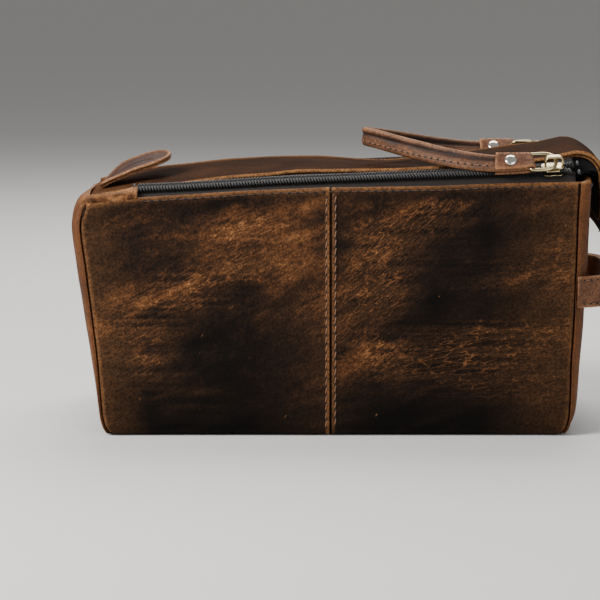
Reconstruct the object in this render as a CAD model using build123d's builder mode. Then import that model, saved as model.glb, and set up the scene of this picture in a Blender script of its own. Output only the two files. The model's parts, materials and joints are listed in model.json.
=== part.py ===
"""Leather shaving kit bag: box bag with two parallel zips, a lifting centre strip and a linked strap pull.

Millimetres. +X along the bag to its handle end, -Y its front, +Z up, origin at the centre of the base.
"""

from build123d import *
import os
from math import cos, radians, sin

# Driving dimensions of the leather box
FORM_TOP = 132.0
BASE_HALF_DEPTH = 57.5
TOP_HALF_DEPTH = 49.7
LEFT_SEAM_BASE, LEFT_SEAM_TOP = -113.5, -122.6
RIGHT_SEAM_BASE, RIGHT_SEAM_TOP = 116.5, 120.8
END_CORNER, LEAST_BEND = 4.6, 0.8
LEFT_BOW, RIGHT_BOW = 1.2, 2.6
CENTRE_SEAM = -1.0
LEATHER = 2.4
BASE_ROUND = 6.5
RIM_HEIGHT, RIM_SLOPE = 121.7, 0.032
LINING = 0.7
LINING_ROUND = 3.2
LINING_DROP = 7.5
FIT_GAP = 0.1
BASE_HALF_X, BASE_HALF_Y = 105.0, 48.5
BOARD, BOARD_CORNER = 1.6, 8.0

# Zips: one chain each side, leaning towards the outer panels
ZIP_Y = 41.0
ZIP_HEIGHT, ZIP_SLOPE = 125.4, 0.042
ZIP_LEAN = 18.0
ZIP_START, ZIP_END = -96.0, 121.0
TAPE = 0.6
TAPE_GAP = 0.7
TAPE_OUT = 6.9
TAPE_IN = 11.0
TAPE_LEG = 8.0
TEETH_GAP, TEETH_EDGE, TEETH_HEIGHT = 0.6, 2.9, 1.8
STOP_LENGTH = 2.0

# Leather shoulders beside the zip starts
SHOULDER_WIDTH, SHOULDER_HEIGHT = 16.0, 3.2
SHOULDER_OFFSET, SHOULDER_TRIM, SHOULDER_SINK = 2.2, 3.0, 0.6

# Lid strip between the zips, and the tab at its hinged end
LID_HALF_WIDTH = 29.8
LID_PLY = 1.5
LINING_MARGIN = 3.0
LID_FACE = [
    (-119.0, 117.3),
    (-65.0, 125.6),
    (0.0, 129.2),
    (103.0, 134.2),
    (117.0, 137.2),
    (126.0, 135.0),
    (131.6, 127.0),
    (131.6, 97.0),
]
TAB_ROOT = (-114.5, 119.0)
TAB_LENGTH, TAB_HALF_WIDTH, TAB_ANGLE = 34.0, 13.0, 19.0
TAB_PLY = 1.2

# Sliders, rings and strap pull
SLIDER_X = 108.0
SLIDER_LENGTH, SLIDER_WIDTH = 11.0, 8.4
PLATE_BASE, PLATE, PLATE_GAP = 1.95, 0.8, 0.35
FLANGE, FLANGE_TRIM = 0.8, 5.0
LOWER_LAP, LOWER_TRIM = 0.35, 0.5
NECK_LENGTH, NECK_INSET = 3.0, 2.5
CROWN_WINDOW, CROWN_BAR = 4.2, 0.9
CROWN_LENGTH, CROWN_WIDTH = 9.6, 2.8
CROWN_POST, CROWN_ROOT = 1.2, 0.2
CROWN_ROUND, WINDOW_ROUND = 1.6, 1.0
SLIDER_CORNER = 3.2
PIVOT_SHIFT = 1.4
RING_WIRE = 0.9
RING_HALF_WIDTH = 5.85
RING_LENGTH = 13.6
RING_TILT = 18.0
RING_BEND, RING_FOLD = 2.6, 1.0
STRAP_WIDTH, STRAP_THICK = 9.4, 2.2
LOOP_RADIUS, LOOP_FIT = 2.0, 0.06
LOOP_SETBACK, FLAT_EXTRA = 0.8, 1.5
STRAP_RISE = [
    ((60.0, -36.0, 136.4), 62.0),
    ((36.0, -18.5, 141.2), 82.0),
    ((20.0, -4.4, 144.0), 90.0),
    ((17.6, 0.0, 144.2), 90.0),
]
RIVET_X = 87.5
RIVET_CAP, RIVET_POST, RIVET_CAP_HEIGHT = 3.0, 1.2, 1.0

# Grab handle on the right-hand end
HANDLE_Z, HANDLE_WIDTH, HANDLE_PLY = 71.0, 15.8, 1.7
HANDLE_REACH = 144.0
HANDLE_ROOT_Y, HANDLE_KNEE_Y, HANDLE_BEND = 52.3, 36.0, 13.0

os.makedirs("parts", exist_ok=True)

rim_plane = Plane(origin=(0, 0, RIM_HEIGHT), x_dir=(1, 0, RIM_SLOPE), z_dir=(-RIM_SLOPE, 0, 1))
lining_rim = rim_plane.offset(-LINING_DROP)
shoulder_floor = rim_plane.offset(-SHOULDER_SINK)
along = Vector(1, 0, ZIP_SLOPE).normalized()
zip_up = Vector(-ZIP_SLOPE, 0, 1).normalized()
lean_cos, lean_sin = cos(radians(ZIP_LEAN)), sin(radians(ZIP_LEAN))


def save(piece, name):
    """Label one finished piece and write it."""
    piece.part.label = name
    export_step(piece.part, f"parts/{name}.step")


def save_pair(piece, front_name, back_name):
    """Write a front piece and its mirror image at the back."""
    save(piece, front_name)
    with BuildPart() as twin:
        mirror(piece.part, about=Plane.XZ)
    save(twin, back_name)


def seam_x(base, top, height):
    """Where a corner seam stands at a height above the base."""
    return base + (top - base) * height / FORM_TOP


def bag_outline(level, inset):
    """Plan outline of the bag at a level, drawn in by inset, with rounded corners and bowed ends."""
    depth = BASE_HALF_DEPTH + (TOP_HALF_DEPTH - BASE_HALF_DEPTH) * level / FORM_TOP - inset
    bend = max(END_CORNER - inset, LEAST_BEND)
    turn = depth - bend
    left = seam_x(LEFT_SEAM_BASE, LEFT_SEAM_TOP, level) - END_CORNER + inset
    right = seam_x(RIGHT_SEAM_BASE, RIGHT_SEAM_TOP, level) + END_CORNER - inset
    with BuildSketch(Plane.XY.offset(level)) as outline:
        with BuildLine():
            for edge, side, bow in ((right, 1, RIGHT_BOW), (left, -1, LEFT_BOW)):
                TangentArc((edge - side * bend, -depth), (edge, -turn), tangent=(side, 0))
                TangentArc((edge - side * bend, depth), (edge, turn), tangent=(side, 0))
                ThreePointArc((edge, -turn), (edge + side * bow, 0), (edge, turn))
            Line((left + bend, -depth), (right - bend, -depth))
            Line((left + bend, depth), (right - bend, depth))
        make_face()
    return outline.sketch


def body_form(inset, floor, base_round):
    """The closed bag form drawn in by inset, from floor to above the rim, its base edge eased."""
    levels = [(floor, 0)]
    if base_round:
        levels = [(floor, 0.7 * base_round), (floor + 0.25 * base_round, 0.27 * base_round), (floor + base_round, 0)]
    levels.append((FORM_TOP, 0))
    with BuildPart() as form:
        for lower, upper in zip(levels, levels[1:]):
            loft([bag_outline(level, inset + ease) for level, ease in (lower, upper)], ruled=True)
    return form.part


def corner_plane(base, top):
    """The cutting plane of a corner seam; its top side faces +X."""
    lean = (top - base) / FORM_TOP
    return Plane(origin=(base, 0, 0), x_dir=(0, 1, 0), z_dir=(1, 0, -lean))


left_corner = corner_plane(LEFT_SEAM_BASE, LEFT_SEAM_TOP)
right_corner = corner_plane(RIGHT_SEAM_BASE, RIGHT_SEAM_TOP)
centre_plane = Plane(origin=(CENTRE_SEAM, 0, 0), x_dir=(0, 1, 0), z_dir=(1, 0, 0))
front_plane = Plane.XZ

outer_form = body_form(0, 0, BASE_ROUND)
inner_form = body_form(LEATHER, LEATHER, BASE_ROUND - LEATHER)

with BuildPart() as leather_shell:
    add(outer_form)
    add(inner_form, mode=Mode.SUBTRACT)
    split(bisect_by=rim_plane, keep=Keep.BOTTOM)

with BuildPart() as base_region:
    with BuildSketch(Plane.XY.offset(-1)):
        Rectangle(2 * BASE_HALF_X, 2 * BASE_HALF_Y)
    extrude(amount=1 + LEATHER + BOARD + LINING + 1)

lining_floor = LEATHER + BOARD + 2 * FIT_GAP
with BuildPart() as lining_shell:
    add(body_form(LEATHER + FIT_GAP, lining_floor, LINING_ROUND))
    add(body_form(LEATHER + FIT_GAP + LINING, lining_floor + LINING, LINING_ROUND - LINING), mode=Mode.SUBTRACT)
    split(bisect_by=lining_rim, keep=Keep.BOTTOM)


def wall_piece(shell, cuts, floor_cut):
    """One panel of a shell: each cut is a plane and the side that is kept."""
    with BuildPart() as panel:
        add(shell.part)
        for plane, side in cuts:
            split(bisect_by=plane, keep=side)
        if floor_cut:
            add(base_region.part, mode=Mode.SUBTRACT)
    return panel


front_cuts = [(front_plane, Keep.TOP), (left_corner, Keep.TOP), (right_corner, Keep.BOTTOM)]
save_pair(
    wall_piece(leather_shell, front_cuts + [(centre_plane, Keep.BOTTOM)], True), "front_panel_left", "back_panel_left"
)
save_pair(
    wall_piece(leather_shell, front_cuts + [(centre_plane, Keep.TOP)], True), "front_panel_right", "back_panel_right"
)
save(wall_piece(leather_shell, [(left_corner, Keep.BOTTOM)], False), "end_panel_left")
save(wall_piece(leather_shell, [(right_corner, Keep.TOP)], False), "end_panel_right")

with BuildPart() as base_panel:
    add(leather_shell.part)
    add(base_region.part, mode=Mode.INTERSECT)
save(base_panel, "base_panel")

with BuildPart() as base_stiffener:
    with BuildSketch(Plane.XY.offset(LEATHER + FIT_GAP)):
        RectangleRounded(2 * BASE_HALF_X, 2 * BASE_HALF_Y, BOARD_CORNER)
    extrude(amount=BOARD)
save(base_stiffener, "base_stiffener")

save_pair(wall_piece(lining_shell, front_cuts, False), "lining_front", "lining_back")
save(wall_piece(lining_shell, [(left_corner, Keep.BOTTOM)], False), "lining_end_left")
save(wall_piece(lining_shell, [(right_corner, Keep.TOP)], False), "lining_end_right")


def on_chain(across, up):
    """Turn a place on the leaning chain into across and up in its upright profile plane."""
    return (across * lean_cos - up * lean_sin, across * lean_sin + up * lean_cos)


def profile_plane(x):
    """Upright plane square to the front chain at x, its own x pointing to the lid."""
    origin = Vector(0, -ZIP_Y, ZIP_HEIGHT) + along * (x / along.X)
    return Plane(origin=origin, x_dir=(0, 1, 0), z_dir=along)


def chain_run(points, start=ZIP_START, end=ZIP_END):
    """A piece of constant section along the front chain."""
    with BuildPart() as run:
        with BuildSketch(profile_plane(start)):
            with BuildLine():
                Polyline(*points, close=True)
            make_face()
        extrude(amount=(end - start) / along.X)
    return run


def teeth_section(side):
    """Section of one row of coil teeth; side is -1 for the outer row and 1 for the inner row."""
    edges = (side * TEETH_GAP, side * TEETH_EDGE)
    return [
        on_chain(edges[0], FIT_GAP),
        on_chain(edges[1], FIT_GAP),
        on_chain(edges[1], TEETH_HEIGHT),
        on_chain(edges[0], TEETH_HEIGHT),
    ]


outer_edge = on_chain(-TAPE_OUT, 0)[0]
outer_tape_section = [
    on_chain(-TAPE_GAP, 0),
    on_chain(-TAPE_OUT, 0),
    (outer_edge, -TAPE_LEG),
    (outer_edge + TAPE, -TAPE_LEG),
    on_chain(-TAPE_OUT + TAPE, -TAPE),
    on_chain(-TAPE_GAP, -TAPE),
]
inner_tape_section = [on_chain(TAPE_GAP, 0), on_chain(TAPE_IN, 0), on_chain(TAPE_IN, -TAPE), on_chain(TAPE_GAP, -TAPE)]

save_pair(chain_run(outer_tape_section), "zip_tape_outer_front", "zip_tape_outer_back")
save_pair(chain_run(inner_tape_section), "zip_tape_inner_front", "zip_tape_inner_back")
teeth_start, teeth_end = ZIP_START + STOP_LENGTH, ZIP_END - STOP_LENGTH
save_pair(chain_run(teeth_section(-1), teeth_start, teeth_end), "zip_teeth_outer_front", "zip_teeth_outer_back")
save_pair(chain_run(teeth_section(1), teeth_start, teeth_end), "zip_teeth_inner_front", "zip_teeth_inner_back")

for row, side in (("outer", -1), ("inner", 1)):
    with BuildPart() as stops:
        for start in (ZIP_START, teeth_end):
            add(chain_run(teeth_section(side), start + FIT_GAP, start + STOP_LENGTH - FIT_GAP).part)
        mirror(stops.part, about=Plane.XZ)
    save(stops, f"zip_stops_{row}")

# Leather shoulders that close the mouth beside the start of each zip
with BuildPart() as shoulder:
    with BuildSketch(shoulder_floor):
        with Locations(((ZIP_START + LEFT_SEAM_TOP) / 2, SHOULDER_OFFSET - ZIP_Y)):
            Rectangle(ZIP_START - LEFT_SEAM_TOP - SHOULDER_TRIM, SHOULDER_WIDTH)
    extrude(amount=SHOULDER_HEIGHT)
    add(inner_form, mode=Mode.INTERSECT)
save_pair(shoulder, "zip_facing_front", "zip_facing_back")


def lid_ply(thickness, half_width):
    """A strip under the lid's face line, bent down over the right-hand end."""
    with BuildPart() as ply:
        with BuildSketch(Plane.XZ.offset(-half_width)):
            with BuildLine():
                face = Polyline(*LID_FACE)
                offset(face, amount=thickness, side=Side.RIGHT)
            make_face()
        extrude(amount=2 * half_width)
    return ply


save(lid_ply(LID_PLY, LID_HALF_WIDTH), "lid_strip")
with BuildPart() as lid_lining:
    add(lid_ply(LID_PLY + FIT_GAP + LINING, LID_HALF_WIDTH - LINING_MARGIN).part)
    add(lid_ply(LID_PLY + FIT_GAP, LID_HALF_WIDTH).part, mode=Mode.SUBTRACT)
save(lid_lining, "lid_lining")

tab_up = Vector(-sin(radians(TAB_ANGLE)), 0, cos(radians(TAB_ANGLE)))
tab_along = Vector(cos(radians(TAB_ANGLE)), 0, sin(radians(TAB_ANGLE)))
tab_origin = Vector(TAB_ROOT[0], 0, TAB_ROOT[1])
for name, lift in (("end_tab_inner", 0), ("end_tab_outer", TAB_PLY + FIT_GAP)):
    with BuildPart() as tab:
        with BuildSketch(Plane(origin=tab_origin + tab_up * lift, x_dir=tab_along, z_dir=tab_up)):
            straight = TAB_LENGTH - TAB_HALF_WIDTH
            with Locations((straight / 2, 0)):
                Rectangle(straight, 2 * TAB_HALF_WIDTH)
            with Locations((straight, 0)):
                Circle(TAB_HALF_WIDTH)
        extrude(amount=TAB_PLY)
        split(bisect_by=Plane(origin=tab_origin, x_dir=(0, 1, 0), z_dir=tab_along), keep=Keep.TOP)
    save(tab, name)

# Slider: plates, flanges, neck and crown, on a plane that leans with the chain
lean_up = zip_up * lean_cos + Vector(0, -lean_sin, 0)
slider_origin = Vector(0, -ZIP_Y, ZIP_HEIGHT) + along * (SLIDER_X / along.X)
slider_plane = Plane(origin=slider_origin, x_dir=along, z_dir=lean_up)
crown_base = PLATE_BASE + PLATE
pivot_height = crown_base + CROWN_WINDOW / 2
crown_top = crown_base + CROWN_WINDOW + CROWN_BAR
with BuildPart() as slider:
    with BuildSketch(slider_plane.offset(PLATE_BASE)):
        RectangleRounded(SLIDER_LENGTH, SLIDER_WIDTH, SLIDER_CORNER)
    extrude(amount=PLATE)
    with BuildSketch(slider_plane.offset(PLATE_GAP)):
        with Locations((0, (SLIDER_WIDTH - FLANGE) / 2), (0, (FLANGE - SLIDER_WIDTH) / 2)):
            Rectangle(SLIDER_LENGTH - FLANGE_TRIM, FLANGE)
    extrude(amount=PLATE_BASE - PLATE_GAP)
    with BuildSketch(slider_plane.offset(-TAPE - PLATE_GAP)):
        with Locations((0, SLIDER_WIDTH / 4 - LOWER_LAP / 2)):
            Rectangle(SLIDER_LENGTH - 2 * LOWER_TRIM, SLIDER_WIDTH / 2 + LOWER_LAP)
    extrude(amount=-PLATE)
    with BuildSketch(slider_plane.offset(-TAPE - PLATE_GAP)):
        with Locations((SLIDER_LENGTH / 2 - NECK_INSET, 0)):
            Rectangle(NECK_LENGTH, TEETH_GAP + FIT_GAP)
    extrude(amount=TAPE + PLATE_GAP + PLATE_BASE)
    crown_plane = Plane(origin=slider_origin, x_dir=along, z_dir=slider_plane.y_dir * -1)
    with BuildSketch(crown_plane.offset(-CROWN_WIDTH / 2)):
        with Locations((PIVOT_SHIFT / 2, (crown_base - CROWN_ROOT + crown_top) / 2)):
            RectangleRounded(CROWN_LENGTH, crown_top - crown_base + CROWN_ROOT, CROWN_ROUND)
        with Locations((PIVOT_SHIFT / 2, pivot_height)):
            RectangleRounded(CROWN_LENGTH - 2 * CROWN_POST, CROWN_WINDOW, WINDOW_ROUND, mode=Mode.SUBTRACT)
    extrude(amount=CROWN_WIDTH)
save_pair(slider, "slider_front", "slider_back")

# Ring: its bar lies on the swing axis, inside the crown's window
pivot = slider_origin + along * PIVOT_SHIFT + lean_up * pivot_height
ring_across = Vector(0, cos(radians(RING_TILT)), sin(radians(RING_TILT)))
ring_up = along.cross(ring_across)
ring_plane = Plane(origin=pivot, x_dir=along, z_dir=ring_up)
with BuildPart() as ring:
    with BuildLine(ring_plane) as ring_path:
        corners = [
            (0, -RING_HALF_WIDTH),
            (-RING_LENGTH, -RING_HALF_WIDTH),
            (-RING_LENGTH, RING_HALF_WIDTH),
            (0, RING_HALF_WIDTH),
        ]
        FilletPolyline(*corners, radius=[RING_BEND, RING_FOLD, RING_FOLD, RING_BEND], close=True)
    with BuildSketch(Plane(origin=ring_path.line @ 0, z_dir=ring_path.line % 0)):
        Circle(RING_WIRE)
    sweep()
save_pair(ring, "pull_ring_front", "pull_ring_back")

# Strap: flat where it is riveted round the ring, then turning on edge and rising to the fold
loop_centre = pivot - along * RING_LENGTH
flat_end = loop_centre - along * (RING_LENGTH + FLAT_EXTRA)
strap_stations = [(loop_centre - along * LOOP_SETBACK, RING_TILT), (flat_end, RING_TILT)]
strap_stations += [(Vector(*place), tilt) for place, tilt in STRAP_RISE]


def strap_plane(index):
    """Section plane of the strap at a station: its own x runs across the strap's width."""
    centre, tilt = strap_stations[index]
    before = strap_stations[max(index - 1, 0)][0]
    after = strap_stations[min(index + 1, len(strap_stations) - 1)][0]
    heading = (after - before).normalized()
    if index == len(strap_stations) - 1:
        heading = Vector(0, 1, 0)
    if index <= 1:
        heading = along * -1
    side = Vector(0, 0, 1).cross(heading).normalized()
    upright = heading.cross(side)
    across = upright * sin(radians(tilt)) - side * cos(radians(tilt))
    return Plane(origin=centre, x_dir=across, z_dir=heading)


rivet_plane = Plane(origin=loop_centre + along * (RIVET_X - loop_centre.X), x_dir=along, z_dir=ring_up)
with BuildPart() as pull_strap:
    for index in range(len(strap_stations) - 1):
        with BuildSketch(strap_plane(index)):
            Rectangle(STRAP_WIDTH, STRAP_THICK)
        with BuildSketch(strap_plane(index + 1)):
            Rectangle(STRAP_WIDTH, STRAP_THICK)
        loft(ruled=True)
    loop_side = Plane(origin=loop_centre, x_dir=along, z_dir=ring_across)
    with BuildSketch(loop_side.offset(-STRAP_WIDTH / 2)):
        Circle(LOOP_RADIUS)
    extrude(amount=STRAP_WIDTH)
    with BuildSketch(loop_side.offset(-STRAP_WIDTH)):
        Circle(RING_WIRE + LOOP_FIT)
    extrude(amount=2 * STRAP_WIDTH, mode=Mode.SUBTRACT)
    with BuildSketch(rivet_plane.offset(-STRAP_THICK)):
        Circle(RIVET_POST + FIT_GAP / 2)
    extrude(amount=2 * STRAP_THICK, mode=Mode.SUBTRACT)
    mirror(pull_strap.part, about=Plane.XZ)
save(pull_strap, "pull_strap")

with BuildPart() as rivet:
    for start in (-STRAP_THICK / 2 - RIVET_CAP_HEIGHT, STRAP_THICK / 2):
        with BuildSketch(rivet_plane.offset(start)):
            Circle(RIVET_CAP)
        extrude(amount=RIVET_CAP_HEIGHT)
    with BuildSketch(rivet_plane.offset(-STRAP_THICK / 2)):
        Circle(RIVET_POST)
    extrude(amount=STRAP_THICK)
save_pair(rivet, "rivet_front", "rivet_back")


def handle_ply(sink, name):
    """One ply of the end handle, sunk under its outer face, let into both corner seams."""
    root = Vector(RIGHT_SEAM_BASE + 4, -HANDLE_ROOT_Y)
    knee = Vector(HANDLE_REACH, -HANDLE_KNEE_Y)
    slant = (knee - root).normalized()
    inward = Vector(-slant.Y, slant.X)
    start = root + inward * sink
    bend = start + slant * ((HANDLE_REACH - sink - start.X) / slant.X)
    with BuildPart() as ply:
        with BuildSketch(Plane.XY.offset(HANDLE_Z - HANDLE_WIDTH / 2)):
            with BuildLine():
                FilletPolyline(
                    (start.X, start.Y), (bend.X, bend.Y), (bend.X, -bend.Y), (start.X, -start.Y), radius=HANDLE_BEND
                )
            trace(line_width=HANDLE_PLY)
        extrude(amount=HANDLE_WIDTH)
        add(outer_form, mode=Mode.SUBTRACT)
    save(ply, name)


handle_ply(0, "end_handle_outer")
handle_ply(HANDLE_PLY + FIT_GAP, "end_handle_inner")

print("swing axis", tuple(round(v, 3) for v in pivot), "slide along", tuple(round(v, 5) for v in along))
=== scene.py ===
"""Leather shaving kit bag: the visual model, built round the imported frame. Sizes are in millimetres."""
import json
import math
import random

import bpy
import numpy as np
from mathutils import Matrix, Vector, noise


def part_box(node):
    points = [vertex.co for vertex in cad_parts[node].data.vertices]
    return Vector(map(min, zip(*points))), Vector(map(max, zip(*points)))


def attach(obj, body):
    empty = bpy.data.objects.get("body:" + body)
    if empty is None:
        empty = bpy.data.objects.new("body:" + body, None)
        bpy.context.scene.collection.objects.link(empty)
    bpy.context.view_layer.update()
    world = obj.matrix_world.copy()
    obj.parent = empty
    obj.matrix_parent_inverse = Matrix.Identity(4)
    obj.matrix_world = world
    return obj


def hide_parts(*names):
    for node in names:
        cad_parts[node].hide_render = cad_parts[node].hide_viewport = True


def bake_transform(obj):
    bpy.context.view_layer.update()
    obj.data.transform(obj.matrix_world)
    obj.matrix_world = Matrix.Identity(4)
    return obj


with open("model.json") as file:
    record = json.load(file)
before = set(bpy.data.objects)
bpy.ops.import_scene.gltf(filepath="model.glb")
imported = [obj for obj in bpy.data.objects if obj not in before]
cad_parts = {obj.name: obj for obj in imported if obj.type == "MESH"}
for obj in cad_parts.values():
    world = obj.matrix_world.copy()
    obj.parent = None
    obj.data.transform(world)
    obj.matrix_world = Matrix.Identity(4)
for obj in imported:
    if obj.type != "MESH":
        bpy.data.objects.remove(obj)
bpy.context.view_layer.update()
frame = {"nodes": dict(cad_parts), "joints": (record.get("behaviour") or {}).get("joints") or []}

MM = 0.001


def box_mm(node):
    """Lowest and highest corner of a CAD node, in millimetres."""
    low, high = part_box(node)
    return low / MM, high / MM


# ---------------------------------------------------------------- sizes taken from the frame
panel_low, panel_high = box_mm("front_panel_left")
right_low, right_high = box_mm("front_panel_right")
left_end_low, left_end_high = box_mm("end_panel_left")
right_end_low, right_end_high = box_mm("end_panel_right")
lid_low, lid_high = box_mm("lid_strip")
tab_low, tab_high = box_mm("end_tab_inner")
tape_low, tape_high = box_mm("zip_tape_outer_front")
handle_low, handle_high = box_mm("end_handle_outer")
slider_low, slider_high = box_mm("slider_front")
base_low, base_high = box_mm("base_panel")
pivot = Vector(next(j for j in frame["joints"] if j["name"] == "pull_swing")["pos_m"]) / MM
tab_pivot = Vector(next(j for j in frame["joints"] if j["name"] == "tab_lift")["pos_m"]) / MM

DEPTH_BASE = -left_end_low.y + 0.4
DEPTH_LEAN = 0.0591
CENTRE_SEAM = panel_high.x
LEATHER = 1.7
BASE_ROUND = 6.5
RIGHT_SEAM, RIGHT_LEAN = 116.5, 0.03258
FOLD = 1.35
ZIP_Y, ZIP_Z, ZIP_SLOPE = 41.0, 125.4, 0.042
ZIP_LEAN = math.radians(25)
STREAK_DEGREES = 22
SLIDER_LEAN = math.radians(18)
ZIP_START, ZIP_END = tape_low.x, tape_high.x - 2.5
COIL_PITCH = 1.45
STITCH = 4.2


def smooth_curve(points, x):
    """Height of a smooth curve through a few (x, height) points."""
    if x <= points[0][0]:
        return points[0][1]
    if x >= points[-1][0]:
        return points[-1][1]
    for i in range(len(points) - 1):
        if x <= points[i + 1][0]:
            break
    (x0, y0), (x1, y1) = points[i], points[i + 1]

    def slope(k):
        a, b = points[max(k - 1, 0)], points[min(k + 1, len(points) - 1)]
        return (b[1] - a[1]) / (b[0] - a[0])

    h = x1 - x0
    t = (x - x0) / h
    return (
        (2 * t**3 - 3 * t**2 + 1) * y0
        + (t**3 - 2 * t**2 + t) * h * slope(i)
        + (3 * t**2 - 2 * t**3) * y1
        + (t**3 - t**2) * h * slope(i + 1)
    )


def clamp(value, low=0.0, high=1.0):
    return max(low, min(high, value))


def ease(value):
    value = clamp(value)
    return value * value * (3 - 2 * value)


def ripple(x, y, z, size, seed=0.0):
    """Smooth noise from about -1 to 1 with features of the given size."""
    return noise.noise(Vector((x / size + seed, y / size - seed, z / size + 2 * seed)))


# ---------------------------------------------------------------- materials
def new_material(name):
    material = bpy.data.materials.new(name)
    material.use_nodes = True
    tree = material.node_tree
    return material, tree, tree.nodes["Principled BSDF"]


def add_node(tree, kind, **settings):
    """A shader node; settings with a leading underscore go to its inputs."""
    node = tree.nodes.new(kind)
    for key, value in settings.items():
        if key.startswith("_"):
            node.inputs[key[1:].replace("_", " ")].default_value = value
        else:
            setattr(node, key, value)
    return node


def math_node(tree, operation, a, b=None, c=None):
    node = tree.nodes.new("ShaderNodeMath")
    node.operation = operation
    for index, value in enumerate((a, b, c)):
        if value is None:
            continue
        if isinstance(value, (int, float)):
            node.inputs[index].default_value = value
        else:
            tree.links.new(value, node.inputs[index])
    return node.outputs[0]


def noise_at(tree, vector, scale, detail=4.0, roughness=0.55, distortion=0.0):
    node = add_node(tree, "ShaderNodeTexNoise", _Scale=scale, _Detail=detail, _Roughness=roughness)
    node.inputs["Distortion"].default_value = distortion
    tree.links.new(vector, node.inputs["Vector"])
    return node.outputs["Fac"]


def ramp_at(tree, factor, stops):
    node = tree.nodes.new("ShaderNodeValToRGB")
    elements = node.color_ramp.elements
    while len(elements) < len(stops):
        elements.new(0.5)
    for element, (place, color) in zip(elements, stops):
        element.position = place
        element.color = (*color, 1.0)
    tree.links.new(factor, node.inputs["Fac"])
    return node.outputs["Color"]


def bump_at(tree, height, strength, distance, normal=None):
    node = add_node(tree, "ShaderNodeBump", _Strength=strength, _Distance=distance)
    tree.links.new(height, node.inputs["Height"])
    if normal is not None:
        tree.links.new(normal, node.inputs["Normal"])
    return node.outputs["Normal"]


def stretched(tree, vector, turn, scale):
    """Texture coordinates turned first and scaled after, so the grain can run at an angle."""
    turned = add_node(tree, "ShaderNodeMapping", _Rotation=turn)
    tree.links.new(vector, turned.inputs["Vector"])
    scaled = add_node(tree, "ShaderNodeMapping", _Scale=scale)
    tree.links.new(turned.outputs["Vector"], scaled.inputs["Vector"])
    return scaled.outputs["Vector"]


def remapped(tree, value, low, high, to_low=0.0, to_high=1.0):
    node = add_node(tree, "ShaderNodeMapRange", _From_Min=low, _From_Max=high, _To_Min=to_low, _To_Max=to_high)
    tree.links.new(value, node.inputs["Value"])
    return node.outputs[0]


def mixed_color(tree, factor, color_a, color_b):
    """Colour a where the factor is 0 and colour b where it is 1."""
    node = add_node(tree, "ShaderNodeMix", data_type="RGBA")
    tree.links.new(factor, node.inputs["Factor"])
    for socket, value in ((node.inputs[6], color_a), (node.inputs[7], color_b)):
        if isinstance(value, tuple):
            socket.default_value = (*value, 1)
        else:
            tree.links.new(value, socket)
    return node.outputs[2]


def crease_field(tree, where, degrees, mask, size):
    """Fine crackled ridges running one way over the front, kept to a mask."""
    turned = stretched(tree, where, (0, math.radians(degrees), 0), (1, 1, 1))
    warp = add_node(tree, "ShaderNodeTexNoise", _Scale=190.0, _Detail=3.0)
    tree.links.new(turned, warp.inputs["Vector"])
    squeezed = stretched(tree, turned, (0, 0, 0), (0.17 * size, 0.2 * size, size))
    moved = add_node(tree, "ShaderNodeVectorMath", operation="ADD")
    tree.links.new(squeezed, moved.inputs[0])
    tree.links.new(warp.outputs["Color"], moved.inputs[1])
    cells = add_node(tree, "ShaderNodeTexVoronoi", feature="DISTANCE_TO_EDGE", _Scale=1.0)
    tree.links.new(moved.outputs[0], cells.inputs["Vector"])
    lines = remapped(tree, cells.outputs["Distance"], 0.0, 0.13, 1.0, 0.0)
    broken = remapped(tree, noise_at(tree, where, 260, 4, 0.7), 0.34, 0.56, 0.20, 1.0)
    return math_node(tree, "MULTIPLY", math_node(tree, "MULTIPLY", lines, broken), mask)


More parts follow.
